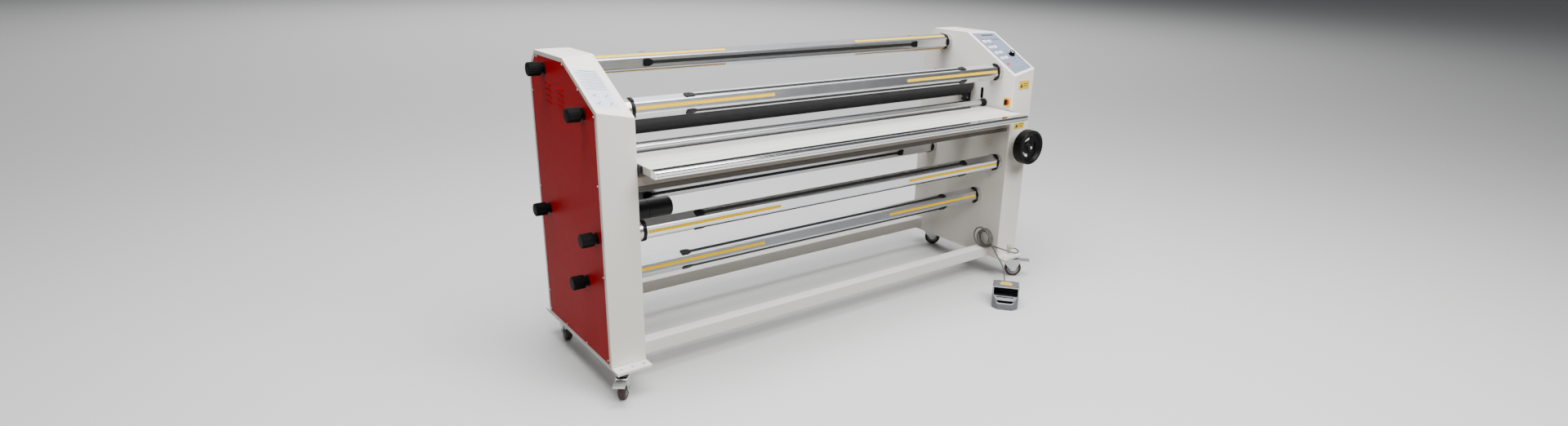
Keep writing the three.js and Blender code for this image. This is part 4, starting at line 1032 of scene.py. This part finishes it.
hinge_low, hinge_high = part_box("right_table_hinge")
for label, side in (("left", -1), ("right", 1)):
    arm = eased(prism(filleted([
        (hinge_low.y, hinge_low.z + 0.004), (hinge_low.y + 0.01, hinge_low.z), (hinge_high.y - 0.004,
                hinge_low.z),
        (hinge_high.y, hinge_low.z + 0.006), (hinge_high.y, hinge_high.z), (hinge_low.y, hinge_high.z),
    ], 0.004), "x", hinge_low.x + 0.0062, hinge_high.x - 0.0001), 0.0008, 2, 50)
    pin_y, pin_z = hinge_high.y - 0.012, hinge_low.z + 0.014
    pin = lathe([(0, hinge_low.x), (0.0068, hinge_low.x), (0.0078, hinge_low.x + 0.001), (0.0078,
            hinge_low.x + 0.0064),
                 (0, hinge_low.x + 0.0064)], "x", (0, pin_y, pin_z), 32)
    bolt = copies(socket_bolt(0.0036, 0.0026), [
        Matrix.Translation((hinge_low.x + 0.0063, hinge_low.y + 0.011, hinge_low.z + 0.014))
        @ Matrix.Rotation(-math.pi / 2, 4, "Y")])
    piece(f"{label}_hinge_arm", on_side(together(arm, pin, bolt), side), black_enamel, "frame",
          [f"{label}_table_hinge"])

# ---- Drive motor ----
# A round geared motor in black paint on the left inner wall: flange, gearbox, motor barrel and end cap.
low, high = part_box("drive_motor")
centre = (low.x, (low.y + high.y) / 2, (low.z + high.z) / 2)
radius = (high.z - low.z) / 2
barrel = lathe([
    (0, 0), (radius, 0), (radius, 0.0095), (radius - 0.003, 0.0102), (radius - 0.003, 0.076),
    (radius - 0.001, 0.077),
    (radius - 0.001, 0.0795), (radius - 0.0022, 0.0805), (radius - 0.0022, 0.1105), (radius - 0.001, 0.1115),
    (radius - 0.001, 0.1885), (radius - 0.0022, 0.19), (radius - 0.0022, 0.1915), (radius - 0.001, 0.193),
    (radius - 0.001, 0.281), (radius - 0.003, 0.2865), (radius - 0.008, 0.2905), (0.017, 0.292), (0.016,
            0.2912),
    (0, 0.2912),
], "x", centre, 96)
piece("motor_barrel", barrel, black_enamel, "frame", ["drive_motor"], 28)
to_right = Matrix.Rotation(math.pi / 2, 4, "Y")
ring = [Matrix.Translation((high.x - 0.0012, centre[1] + 0.026 * math.cos(math.radians(a)),
                            centre[2] + 0.026 * math.sin(math.radians(a)))) @ to_right for a in (45, 135,
                                    225, 315)]
piece("motor_bolts", copies(socket_bolt(0.0033, 0.0022), ring), turned_steel, "frame")

# ---- Handwheel ----
# A black moulded wheel that lifts the upper roller: a deep plain rim, a web with three curved windows and
# a hub on a steel shaft.
low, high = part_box("handwheel")
wheel_centre = Vector((0.944, low.y, 0.622))
web = lathe([
    (0, 0.0085), (0.0075, 0.0085), (0.0085, 0.0075), (0.0175, 0.0075), (0.019, 0.009), (0.0195, 0.0135),
    (0.023, 0.0165), (0.05, 0.0175), (0.0565, 0.0145), (0.0605, 0.006), (0.0635, 0.0015), (0.068, 0),
    (0.0722, 0.0014), (0.0745, 0.005), (0.075, 0.010), (0.075, 0.037), (0.0742, 0.0425), (0.0715, 0.0465),
    (0.067, 0.048), (0.0628, 0.0462), (0.0605, 0.041), (0.0585, 0.0265), (0.05, 0.0235), (0.023, 0.0235),
    (0.0195, 0.0265), (0.019, 0.046), (0.0178, 0.048), (0, 0.048),
], "y", wheel_centre, 96)
windows = []
for k in range(3):
    start = 90 + math.degrees(0.5) + 120 * k
    outer = arc((0, 0), 0.043, start - 34, start + 34, 14)
    inner = arc((0, 0), 0.031, start + 34, start - 34, 14)
    window = prism(filleted(outer + inner, 0.003, 1), "y", -0.01, 0.07)
    window.transform(Matrix.Translation(wheel_centre))
    windows.append(window)
wheel = eased(carved(web, *windows), 0.0011, 2, 70)
piece("handwheel_rim", wheel, black_moulding, "handwheel", ["handwheel"])
wheel_shaft = lathe([(0, 0.0482), (0.009, 0.0482), (0.009, 0.0815), (0, 0.0815)], "y", wheel_centre, 40)
piece("handwheel_shaft", wheel_shaft, turned_steel, "handwheel")
hub_screw = copies(socket_bolt(0.0065, 0.0044), [
    Matrix.Translation(wheel_centre + Vector((0, 0.0084, 0))) @ Matrix.Rotation(math.pi / 2, 4, "X")])
piece("handwheel_screw", hub_screw, turned_steel, "handwheel")

# ---- Control panel ----
# A printed polyester overlay on the right cabinet's slope: pairs of white keys, a red stop key, two lamps
# and the scale of the speed knob, with thin dividing lines between the groups.
overlay_film = finish("overlay_film", (0.19, 0.228, 0.305), 0.42, grain=1500, depth=0.00002, mottle=0.03)
print_white = finish("print_white", (0.82, 0.82, 0.84), 0.3, grain=1500, depth=0.00001)
print_grey = finish("print_grey", (0.17, 0.175, 0.2), 0.35, grain=1500, depth=0.00001)
print_red = finish("print_red", (0.55, 0.02, 0.03), 0.35, grain=1500, depth=0.00001)
print_dark = finish("print_dark", (0.03, 0.03, 0.035), 0.4, grain=1500, depth=0.00001)
slope_inner_front = Vector((inner_x, front_y, slope_outer_front.z + (
    slope_normal.x * (outer_x - inner_x)) / slope_normal.z))
slope_across = (slope_outer_front - slope_inner_front).normalized()
slope_along = slope_normal.cross(slope_across)


def slope_spot(across, along, lift=0.0):
    """A place on the slope: across from the inner to the outer edge and along from front to back."""
    front = slope_inner_front.lerp(slope_outer_front, across)
    back = slope_inner_back.lerp(slope_outer_back, across)
    return front.lerp(back, along) + slope_normal * lift


def sheet_piece(spots, normal, low, high):
    """A thin closed sheet between two levels above the face its spots lie on."""
    bm = bmesh.new()
    under = [bm.verts.new(spot + normal * low) for spot in spots]
    over = [bm.verts.new(spot + normal * high) for spot in spots]
    bm.faces.new(under[::-1])
    bm.faces.new(over)
    for k in range(len(spots)):
        bm.faces.new((under[k], under[(k + 1) % len(spots)], over[(k + 1) % len(spots)], over[k]))
    bmesh.ops.recalc_face_normals(bm, faces=bm.faces)
    return bm


def ring_sheet(centre, axis_one, axis_two, inside, outside, start, end, low, high, steps=32):
    """A flat ring or part of one, drawn round a centre on two axes, from angle to angle in degrees."""
    normal = axis_one.cross(axis_two).normalized()
    outer = [centre + axis_one * x + axis_two * y for x, y in arc((0, 0), outside, start, end, steps)]
    if inside <= 0:
        return sheet_piece(outer[:-1], normal, low, high)
    inner = [centre + axis_one * x + axis_two * y for x, y in arc((0, 0), inside, start, end, steps)]
    bm = bmesh.new()
    rows = [[bm.verts.new(spot + normal * level) for spot in line]
            for line, level in ((outer, low), (outer, high), (inner, high), (inner, low))]
    closed = abs(end - start) >= 360
    for k in range(steps):
        for one, two in zip(rows, rows[1:] + rows[:1]):
            bm.faces.new((one[k], one[k + 1], two[k + 1], two[k]))
    if not closed:
        bm.faces.new([row[0] for row in rows])
        bm.faces.new([row[-1] for row in rows][::-1])
    bmesh.ops.remove_doubles(bm, verts=bm.verts, dist=1e-6)
    bmesh.ops.recalc_face_normals(bm, faces=bm.faces)
    return bm


def patch(a0, b0, a1, b1, low, high, corner=0.0):
    """A sheet on the slope between two places, with rounded corners if asked."""
    outline = [(a0, b0), (a1, b0), (a1, b1), (a0, b1)]
    if corner:
        outline = filleted(outline, corner, 4)
    return sheet_piece([slope_spot(a, b) for a, b in outline], slope_normal, low, high)


margin_across, margin_along = 0.087, 0.038
overlay = patch(margin_across, margin_along, 1 - margin_across, 1 - margin_along, 0.0001, 0.0012, 0.02)
piece("panel_overlay", overlay, overlay_film, "frame", ["control_overlay"])

face, print_top = 0.0012, 0.0014
keys, key_marks, lines, dark = [], [], [], []
for a, b in ((0.17, 0.735), (0.34, 0.735), (0.17, 0.6), (0.34, 0.6), (0.17, 0.47), (0.34, 0.47), (0.17,
        0.345),
             (0.34, 0.345)):
    keys.append(patch(a, b, a + 0.13, b + 0.052, face, print_top, 0.012))
    key_marks.append(patch(a + 0.035, b + 0.018, a + 0.095, b + 0.034, print_top, print_top + 0.0001))
    dark.append(patch(a + 0.01, b + 0.062, a + 0.1, b + 0.07, face, print_top))
for b in (0.83, 0.69, 0.56, 0.43, 0.31):
    lines.append(patch(0.12, b, 0.62 if b > 0.4 else 0.5, b + 0.005, face, print_top))
for b in (0.082, 0.105, 0.128):
    lines.append(patch(0.16, b, 0.86, b + 0.0045, face, print_top))
for k in range(4):
    dark.append(patch(0.36 + 0.11 * k, 0.885, 0.36 + 0.11 * k + 0.08, 0.92, face, print_top))
for a, b, width in ((0.56, 0.8, 0.2), (0.56, 0.775, 0.26), (0.62, 0.29, 0.09), (0.8, 0.29, 0.09)):
    dark.append(patch(a, b, a + width, b + 0.009, face, print_top))
stop_at = slope_spot(0.22, 0.235)
stop = [ring_sheet(stop_at, slope_across, slope_along, 0.0078, 0.0095, 0, 360, face, print_top),
        ring_sheet(stop_at, slope_across, slope_along, 0, 0.0058, 0, 360, face, print_top + 0.0002)]
mark_at = slope_spot(0.24, 0.9)
stop.append(ring_sheet(mark_at, slope_across, slope_along, 0.003, 0.0055, 0, 360, face, print_top))
for a in (0.62, 0.85):
    stop.append(ring_sheet(slope_spot(a, 0.235), slope_across, slope_along, 0, 0.0021, 0, 360, face,
                           print_top + 0.0012))
knob_spot = (0.7, 0.4)
knob_at = slope_spot(*knob_spot)
dark.append(ring_sheet(knob_at, slope_across, slope_along, 0.0212, 0.0219, -35, 215, face, print_top, 40))
for k in range(11):
    angle = -35 + 25 * k
    dark.append(ring_sheet(knob_at, slope_across, slope_along, 0.0185, 0.0232 + 0.0006 * (k % 2 == 0),
                           angle - 0.9, angle + 0.9, face, print_top, 2))
piece("panel_keys", together(*keys), print_white, "frame")
piece("panel_key_marks", together(*key_marks), print_grey, "frame")
piece("panel_lines", together(*lines), print_grey, "frame")
piece("panel_print", together(*dark), print_dark, "frame")
piece("panel_stop_and_lamps", together(*stop), print_red, "frame")

# ---- Speed knob ----
# A skirted black control knob with a fluted grip, a white pointer line and a spun aluminium cap.
knob_turn = slope_normal.to_track_quat("Z", "Y").to_matrix().to_4x4()
knob_place = Matrix.Translation(slope_spot(*knob_spot, 0.0014)) @ knob_turn
skirt = lathe([(0, 0), (0.0138, 0), (0.014, 0.0008), (0.0132, 0.0042), (0.0118, 0.0058), (0, 0.0062)], "z",
              (0, 0, 0), 56)
grip = ribbed(0.0106, 0.0007, 18, 0.0055, 0.0165, "z", (0, 0, 0), 0.0009)
knob = together(skirt, grip)
knob.transform(knob_place)
piece("speed_knob_grip", knob, knob_plastic, "speed_knob", ["speed_knob"])
cap = lathe([(0, 0.0162), (0.0084, 0.0162), (0.0084, 0.0172), (0.0078, 0.0177), (0.0052, 0.0174), (0,
        0.0172)],
            "z", (0, 0, 0), 48)
cap.transform(knob_place)
piece("speed_knob_cap", cap, turned_steel, "speed_knob")
pointer = prism(filleted([(-0.0005, 0.0055), (0.0005, 0.0055), (0.0005, 0.0128), (-0.0005, 0.0128)],
                         0.0003), "z",
                0.0048, 0.0064)
pointer.transform(knob_place @ Matrix.Rotation(math.radians(40), 4, "Z"))
piece("speed_knob_pointer", pointer, print_white, "speed_knob")

# ---- Instruction sheet ----
# A printed vinyl sheet on the left cabinet's slope: a heading, lines of small print and four diagrams.
vinyl = finish("instruction_vinyl", (0.66, 0.69, 0.78), 0.34, coat=0.1, grain=1200, depth=0.00001,
               mottle=0.02)
print_blue = finish("print_blue", (0.05, 0.07, 0.17), 0.4, grain=1500, depth=0.00001)
sheet_along = (slope_outer_back - slope_outer_front).normalized()
sheet_across = sheet_along.cross(slope_normal)
sheet_start = slope_spot(0.93, 0.1) - sheet_across * 0.09
sheet_width, sheet_length = 0.09, 0.198


def sheet_patch(x0, y0, x1, y1, low, high, corner=0.0):
    """A sheet on the instruction sheet's own axes, in metres from its inner front corner."""
    outline = [(x0, y0), (x1, y0), (x1, y1), (x0, y1)]
    if corner:
        outline = filleted(outline, corner, 3)
    return sheet_piece([sheet_start + sheet_across * x + sheet_along * y for x, y in outline], slope_normal,
                       low, high)


paper = sheet_patch(0, 0, sheet_width, sheet_length, 0.00005, 0.00035, 0.002)
piece("instruction_sheet", on_side(paper, -1), vinyl, "frame")
small_print, diagrams = [], []
low, high = 0.00035, 0.00045
for k in range(9):
    start = 0.008 + 0.0068 * k
    small_print.append(sheet_patch(start, 0.1842, start + (0.0052 if k % 3 else 0.0046), 0.1888, low, high))
row = 0.1765
block_of_print = 0
while row > 0.088:
    reach = 0.006
    word = 0
    while reach < sheet_width - 0.008:
        length = 0.0035 + 0.0045 * ((word * 7 + block_of_print * 5) % 5) / 4
        last = min(reach + length, sheet_width - 0.006)
        small_print.append(sheet_patch(reach, row, last, row + 0.0013, low, high))
        reach = last + 0.0013
        word += 1
        if block_of_print % 4 == 3 and reach > 0.055:
            break
    row -= 0.0034 if block_of_print % 4 != 3 else 0.0058
    block_of_print += 1
for x in (0.011, 0.052):
    for y in (0.01, 0.048):
        for a, b, c, d in ((0, 0, 0.027, 0.0004), (0, 0.0276, 0.027, 0.028), (0, 0, 0.0004, 0.028),
                           (0.0266, 0, 0.027, 0.028), (0.006, 0.007, 0.019, 0.0082), (0.009, 0.0135, 0.022,
                                   0.0146)):
            small_print.append(sheet_patch(x + a, y + b, x + c, y + d, low, high))
        spot = sheet_start + sheet_across * (x + 0.0095) + sheet_along * (y + 0.019)
        diagrams.append(ring_sheet(spot, sheet_across, sheet_along, 0.0021, 0.0034, 0, 360, low, high, 20))
        spot = sheet_start + sheet_across * (x + 0.0175) + sheet_along * (y + 0.011)
        diagrams.append(ring_sheet(spot, sheet_across, sheet_along, 0.0016, 0.003, 0, 360, low, high, 20))
piece("instruction_print", on_side(together(*small_print), -1), print_blue, "frame")
piece("instruction_diagrams", on_side(together(*diagrams), -1), print_dark, "frame")

# ---- Warning labels ----
# Two plain yellow stickers on the right cabinet's front, each with a thin border, a triangle and bars.
sticker_yellow = finish("sticker_yellow", (0.82, 0.55, 0.02), 0.38, coat=0.1, grain=1200, depth=0.00001)
stickers, sticker_print = [], []
forward = Vector((0, -1, 0))
for x, z, width, height in ((0.947, 0.882, 0.064, 0.037), (0.942, 0.708, 0.064, 0.031)):
    left, base = x - width / 2, z - height / 2

    def on_front(outline, low, high):
        return sheet_piece([Vector((left + u, front_y, base + v)) for u, v in outline], forward, low, high)

    stickers.append(on_front(filleted([(0, 0), (width, 0), (width, height), (0, height)], 0.002), 0, 0.0003))
    rim = 0.0012
    for u0, v0, u1, v1 in (
        (rim, rim, width - rim, rim + 0.0006), (rim, height - rim - 0.0006, width - rim, height - rim),
        (rim, rim, rim + 0.0006, height - rim), (width - rim - 0.0006, rim, width - rim, height - rim),
        (width * 0.45, height * 0.62, width * 0.9, height * 0.7), (width * 0.45, height * 0.44,
                width * 0.84, height * 0.51),
        (width * 0.45, height * 0.28, width * 0.9, height * 0.34),
    ):
        sticker_print.append(on_front([(u0, v0), (u1, v0), (u1, v1), (u0, v1)], 0.0003, 0.0004))
    sticker_print.append(on_front([(width * 0.1, height * 0.22), (width * 0.4, height * 0.22),
                                   (width * 0.25, height * 0.76)],
                                  0.0003, 0.0004))
piece("warning_stickers", together(*stickers), sticker_yellow, "frame")
piece("warning_sticker_print", together(*sticker_print), print_dark, "frame")

# ---- Mains switch ----
# A rotary switch on the right inner wall: a yellow plate, and a narrow black grip on a red disc.
plate_low, plate_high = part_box("power_switch_plate")
switch_at = Vector((plate_low.x, (plate_low.y + plate_high.y) / 2, (plate_low.z + plate_high.z) / 2))
yellow_plastic = finish("yellow_plastic", (0.85, 0.54, 0.008), 0.35, grain=1500, depth=0.00002)
red_plastic = finish("red_plastic", (0.42, 0.02, 0.012), 0.35, grain=1500, depth=0.00002)
plate = eased(block(plate_low, plate_high), 0.0022, 3, 50)
piece("switch_plate", plate, yellow_plastic, "frame", ["power_switch_plate"])
disc = lathe([(0, -0.0003), (0.013, -0.0003), (0.013, -0.0034), (0.0122, -0.004), (0, -0.004)], "x",
             switch_at, 48)
grip_outline = filleted([(-0.0032, -0.012), (0.0032, -0.012), (0.0036, 0), (0.0032, 0.012), (-0.0032, 0.012),
                         (-0.0036, 0)], 0.0018)
grip = eased(prism(grip_outline, "x", -0.0162, -0.0035), 0.0009, 2, 60)
grip.transform(Matrix.Translation(switch_at))
piece("switch_disc", disc, red_plastic, "power_switch_handle")
piece("switch_handle", grip, black_moulding, "power_switch_handle", ["power_switch_handle"])

# ---- Light barrier slots ----
# Black sender and receiver housings of the safety light beam, set into both inner walls in front of the nip.
slot_black = finish("slot_black", (0.0015, 0.0015, 0.0015), 0.6, grain=900, depth=0.00002, specular=0.05)
dark_lens = finish("dark_lens", (0.02, 0.004, 0.006), 0.12, coat=0.6, grain=500, depth=0.000005)
for label, side in (("left", -1), ("right", 1)):
    slot_form = filleted([(0.0265, 0.805), (0.0415, 0.805), (0.0415, 0.853), (0.0265, 0.853)], 0.0072, 6)
    housing = eased(prism(slot_form, "x", inner_x - 0.0012, inner_x + 0.0002), 0.0006, 2, 60)
    well = prism(filleted([(0.0293, 0.8085), (0.0387, 0.8085), (0.0387, 0.8495), (0.0293, 0.8495)], 0.0046,
                          6), "x",
                 inner_x - 0.002, inner_x - 0.0006)
    piece(f"{label}_light_barrier", on_side(carved(housing, well), side), slot_black, "frame")
    lens = lathe([(0, -0.0007), (0.0037, -0.0007), (0.0037, -0.0011), (0.0028, -0.0018), (0, -0.0021)], "x",
                 (inner_x, 0.034, 0.83), 32)
    piece(f"{label}_light_lens", on_side(lens, side), dark_lens, "frame")

# ---- Wall screws ----
# Small cross-recessed screws on the inner walls that hold the parts inside the cabinets.
for label, side in (("left", -1), ("right", 1)):
    heads = [(-0.045, 0.628), (-0.045, 0.612), (0.06, 0.628), (0.06, 0.612), (-0.06, 0.47), (0.2, 0.9),
             (0.2, 0.62), (0.33, 0.9), (0.33, 0.3), (0.19, 0.2), (-0.09, 0.3)]
    flip = Matrix.Rotation(math.pi, 4, "Z")
    screws = copies(pan_head(0.0029, 0.0016), [Matrix.Translation((inner_x, y, z)) @ flip for y, z in heads])
    piece(f"{label}_wall_screws", on_side(screws, side), turned_steel, "frame")

# ---- Casters ----
# Swivel casters with brakes: a zinc-plated plate bolted under the base plate, a race, a pressed fork, a
# dark red-brown tyre on a grey hub and a foot pedal of bent sheet.
zinc = finish("zinc_plate", (0.50, 0.52, 0.53), 0.34, metallic=1.0, grain=300, depth=0.00003, mottle=0.3,
              smudge=0.25)
tyre = finish("tyre", (0.035, 0.017, 0.015), 0.55, grain=400, depth=0.00005, mottle=0.25)
hub_grey = finish("hub_grey", (0.30, 0.31, 0.31), 0.45, grain=900, depth=0.00003, mottle=0.1)
axle_height, trail = 0.0375, 0.03
fork_inside, fork_outside = 0.016, 0.019
pin_x, pin_z = 0.052, 0.076

for label, x, y, turned in (("front_left", -0.949, -0.138, -126), ("front_right", 0.961, -0.138, -45),
                            ("rear_left", -0.949, 0.386, -100), ("rear_right", 0.961, 0.386, -46)):
    place = Matrix.Translation((x, y, 0))
    swivelled = place @ Matrix.Rotation(math.radians(turned), 4, "Z")

    plate = eased(prism(filleted([(-0.031, -0.031), (0.031, -0.031), (0.031, 0.031), (-0.031, 0.031)], 0.006),
                        "z", 0.0907, 0.0946), 0.0007, 2, 60)
    race = lathe([(0, 0.0848), (0.0195, 0.0848), (0.0225, 0.0856), (0.023, 0.0872), (0.0222, 0.0886),
                  (0.0205, 0.0892), (0.0205, 0.0906), (0, 0.0906)], "z", (0, 0, 0), 56)
    mount = together(plate, race)
    mount.transform(place)
    piece(f"{label}_caster_plate", mount, zinc, "frame", [f"{label}_caster_mount"])
    bolts = copies(hex_bolt(0.0085, 0.0036), [
        place @ Matrix.Translation((a, b, 0.0906)) @ Matrix.Rotation(math.pi, 4, "X")
        for a in (-0.0245, 0.0245) for b in (-0.0245, 0.0245)])
    piece(f"{label}_caster_bolts", bolts, zinc, "frame")

    leg_outline = filleted([
        (-0.02, 0.0843), (-0.0205, 0.074), (trail - 0.016, axle_height - 0.002), (trail - 0.009,
                axle_height - 0.0115),
        (trail + 0.009, axle_height - 0.0115), (trail + 0.0145, axle_height - 0.002), (pin_x + 0.0065,
                pin_z - 0.006),
        (pin_x + 0.0065, pin_z + 0.004), (pin_x, 0.0843),
    ], 0.006, 4)
    legs = [eased(prism(leg_outline, "y", s * fork_inside, s * fork_outside), 0.0006, 2, 60) for s in (-1, 1)]
    crown = eased(prism(filleted([(-0.02, -fork_outside), (0.038, -fork_outside), (0.038, fork_outside),
                                  (-0.02, fork_outside)], 0.003), "z", 0.0812, 0.0843), 0.0005, 1, 60)
    axle = lathe([(0, -0.0212), (0.0045, -0.0212), (0.005, -0.0205), (0.005, 0.0205), (0.0045, 0.0212), (0,
            0.0212)],
                 "y", (trail, 0, axle_height), 28)
    nuts = copies(hex_bolt(0.0125, 0.0034), [
        Matrix.Translation((trail, s * fork_outside, axle_height)) @ Matrix.Rotation(-s * math.pi / 2, 4, "X")
        for s in (-1, 1)])
    pin = lathe([(0, -0.0205), (0.0036, -0.0205), (0.004, -0.02), (0.004, 0.02), (0.0036, 0.0205), (0,
            0.0205)], "y",
                (pin_x, 0, pin_z), 24)
    fork = together(*legs, crown, axle, nuts, pin)
    fork.transform(swivelled)
    piece(f"{label}_caster_yoke", fork, zinc, f"{label}_caster_fork", [f"{label}_caster_fork"])

    tread = lathe([
        (0.0262, -0.0115), (0.028, -0.013), (0.0335, -0.013), (0.0358, -0.0112), (0.0371, -0.0075), (0.0375,
                -0.003),
        (0.0375, 0.003), (0.0371, 0.0075), (0.0358, 0.0112), (0.0335, 0.013), (0.028, 0.013), (0.0262,
                0.0115),
        (0.0262, -0.0115),
    ], "y", (trail, 0, axle_height), 72)
    tread.transform(swivelled)
    piece(f"{label}_caster_tyre", tread, tyre, f"{label}_caster_wheel", [f"{label}_caster_wheel"])
    hub = lathe([
        (0.0056, -0.0145), (0.0105, -0.0145), (0.0118, -0.0132), (0.0122, -0.0098), (0.0145, -0.0085),
        (0.0215, -0.0085), (0.0238, -0.0098), (0.0246, -0.0118), (0.0261, -0.0118), (0.0261, 0.0118),
        (0.0246, 0.0118), (0.0238, 0.0098), (0.0215, 0.0085), (0.0145, 0.0085), (0.0122, 0.0098), (0.0118,
                0.0132),
        (0.0105, 0.0145), (0.0056, 0.0145), (0.0056, -0.0145),
    ], "y", (trail, 0, axle_height), 56)
    hub.transform(swivelled)
    piece(f"{label}_caster_hub", hub, hub_grey, f"{label}_caster_wheel")

    pad_end = pin_x + 0.05
    neck_sheet = prism([(pin_x - 0.003, pin_z + 0.001), (pin_x + 0.012, pin_z + 0.001), (pin_x + 0.012,
            pin_z + 0.0038),
                        (pin_x - 0.003, pin_z + 0.0038)], "y", -0.0156, 0.0156)
    pad = prism(filleted([
        (pin_x + 0.0085, pin_z + 0.001), (pad_end - 0.0032, pin_z + 0.001), (pad_end - 0.0032,
                pin_z - 0.0028),
        (pad_end - 0.0004, pin_z - 0.0028), (pad_end - 0.0004, pin_z + 0.0038), (pin_x + 0.0085,
                pin_z + 0.0038),
    ], 0.0018, 3), "y", -0.0208, 0.0208)
    top_view = prism(filleted([(pin_x + 0.008, -0.016), (pin_x + 0.02, -0.0208), (pad_end, -0.0208),
                               (pad_end, 0.0208), (pin_x + 0.02, 0.0208), (pin_x + 0.008, 0.016)], 0.006, 5),
                     "z", 0.06, 0.09)
    pad = eased(carved(pad, top_view, operation="INTERSECT"), 0.0004, 1, 60)
    boss = lathe([(0.0045, -0.0157), (0.006, -0.0157), (0.006, 0.0157), (0.0045, 0.0157), (0.0045,
            -0.0157)], "y",
                 (pin_x, 0, pin_z), 28)
    brake = together(neck_sheet, pad, boss)
    brake.transform(swivelled)
    piece(f"{label}_caster_pedal", brake, zinc, f"{label}_caster_brake", [f"{label}_caster_brake"])

# ---- Foot switch ----
# A cast aluminium housing in grey hammer paint: six-sided from above, open in front, with a hood over the
# pedal and a cable gland at the back. It stands free on the floor.
cast_grey = finish("hammer_grey", (0.15, 0.155, 0.165), 0.42, metallic=0.35, grain=220, depth=0.00012,
                   mottle=0.25,
                   smudge=0.15)
switch_place = Matrix.Translation(switch_centre) @ Matrix.Rotation(switch_turn, 4, "Z")
half_width, half_length, top = 0.054, 0.068, 0.088
wall = 0.004
side_view = filleted([
    (-half_length, 0.0004), (half_length, 0.0004), (half_length, top - 0.018), (half_length - 0.022, top),
    (-0.0232, top), (-0.045, top - 0.026), (-0.058, top - 0.052), (-half_length, top - 0.062),
], 0.002, 3)
top_outline = [
    (-half_width, 0.045), (-half_width, -0.045), (-0.03, -half_length), (0.03, -half_length), (half_width,
            -0.045),
    (half_width, 0.045), (0.036, half_length), (-0.036, half_length),
]


def drawn_in(outline, distance):
    """An outline moved inwards by about a distance."""
    return [(x - math.copysign(distance, x), y - math.copysign(distance, y) * (abs(y) > 0.05)) for x,
            y in outline]


housing = carved(prism(side_view, "x", -half_width, half_width),
                 prism(filleted(top_outline, 0.004, 3), "z", -0.01, 0.1), operation="INTERSECT")
inside = carved(
    prism([(-half_length - 0.01, 0.006), (half_length - wall, 0.006), (half_length - wall, top - 0.02),
           (half_length - 0.024, top - wall), (-0.09, top - wall)], "x", -half_width, half_width),
    prism(drawn_in(top_outline, wall), "z", -0.01, 0.1), operation="INTERSECT")
mouth = prism([(-0.1, top - 0.056), (-half_length + 0.008, top - 0.056), (-0.052, top - 0.04), (-0.041,
        top - 0.02),
               (-0.027, top - 0.0045), (-0.1, top - 0.0045)], "x", -half_width - 0.01, half_width + 0.01)
housing = eased(carved(housing, inside, mouth), 0.0008, 2, 40)
hood_edge = eased(prism(filleted([(-0.05, -0.0235), (0.05, -0.0235), (0.0535, -0.012), (0.0535, 0.03),
                                  (0.036, 0.0458), (-0.036, 0.0458), (-0.0535, 0.03), (-0.0535, -0.012)],
                                 0.003),
                        "z", top - 0.0042, top + 0.0012), 0.0008, 2, 60)
gland = lathe([(0, 0.0672), (0.0078, 0.0672), (0.0078, 0.0705), (0.006, 0.0712), (0.0062, 0.0735), (0.005,
        0.0762),
               (0, 0.0762)], "y", (0, 0, 0.022), 32)
switch_screws = copies(pan_head(0.0035, 0.0018), [
    Matrix.Translation((x, y, top + 0.0012)) @ Matrix.Rotation(-math.pi / 2, 4, "Y")
    for x, y in ((-0.04, -0.015), (0.04, -0.015), (-0.03, 0.037), (0.03, 0.037))])
body = together(housing, hood_edge, gland)
body.transform(switch_place)
piece("foot_switch_body", body, cast_grey, "frame", ["foot_switch_housing"])
switch_screws.transform(switch_place)
piece("foot_switch_screws", switch_screws, turned_steel, "frame")
sign_sheet = prism(filleted([(-0.022, -0.004), (0.022, -0.004), (0.026, 0.012), (0.016, 0.028), (-0.016,
        0.028),
                             (-0.026, 0.012)], 0.005, 5), "z", top + 0.0012, top + 0.0015)
sign_sheet.transform(switch_place)
piece("foot_switch_sticker", sign_sheet, sticker_yellow, "frame")
bars = [prism([(x, y), (x + w, y), (x + w, y + 0.002), (x, y + 0.002)], "z", top + 0.0015, top + 0.0016)
        for x, y, w in ((-0.016, 0.003, 0.032), (-0.018, 0.009, 0.036), (-0.012, 0.015, 0.024))]
bars = together(*bars)
bars.transform(switch_place)
piece("foot_switch_sticker_print", bars, print_dark, "frame")

half = half_width - wall - 0.002
front_edge = -half_length + 0.026
hinge_y, hinge_z = half_length - 0.034, 0.026
pedal_side = filleted([
    (hinge_y + 0.0055, hinge_z - 0.0055), (hinge_y + 0.0055, hinge_z + 0.0055), (-0.023, 0.046),
    (front_edge + 0.014, 0.042), (front_edge, 0.033), (front_edge, 0.029), (front_edge + 0.014, 0.038),
    (-0.023, 0.042), (hinge_y - 0.0055, hinge_z - 0.0055),
], 0.0018, 3)
pedal_top = prism(filleted([(-half, 0.05), (-half, -0.032), (-0.034, front_edge - 0.0005),
                            (0.034, front_edge - 0.0005), (half, -0.032), (half, 0.05)], 0.003), "z", 0, 0.1)
pedal = eased(carved(prism(pedal_side, "x", -half, half), pedal_top, operation="INTERSECT"), 0.0005, 1, 60)
treads = []
for k in range(6):
    y = -0.0285 + 0.0052 * k - 0.001
    z = 0.0432 + 0.0004 * k if y < -0.023 else 0.046 - (y + 0.023) * 0.27
    treads.append(block((-0.036, y - 0.0011, z - 0.0012), (0.036, y + 0.0011, z + 0.0011)))
treads = eased(together(*treads), 0.0004, 1, 60)
pedal.transform(switch_place)
treads.transform(switch_place)
piece("foot_pedal_plate", pedal, cast_grey, "foot_switch_pedal", ["foot_switch_pedal"])
piece("foot_pedal_treads", treads, grip_rubber_and_shadow_black, "foot_switch_pedal")
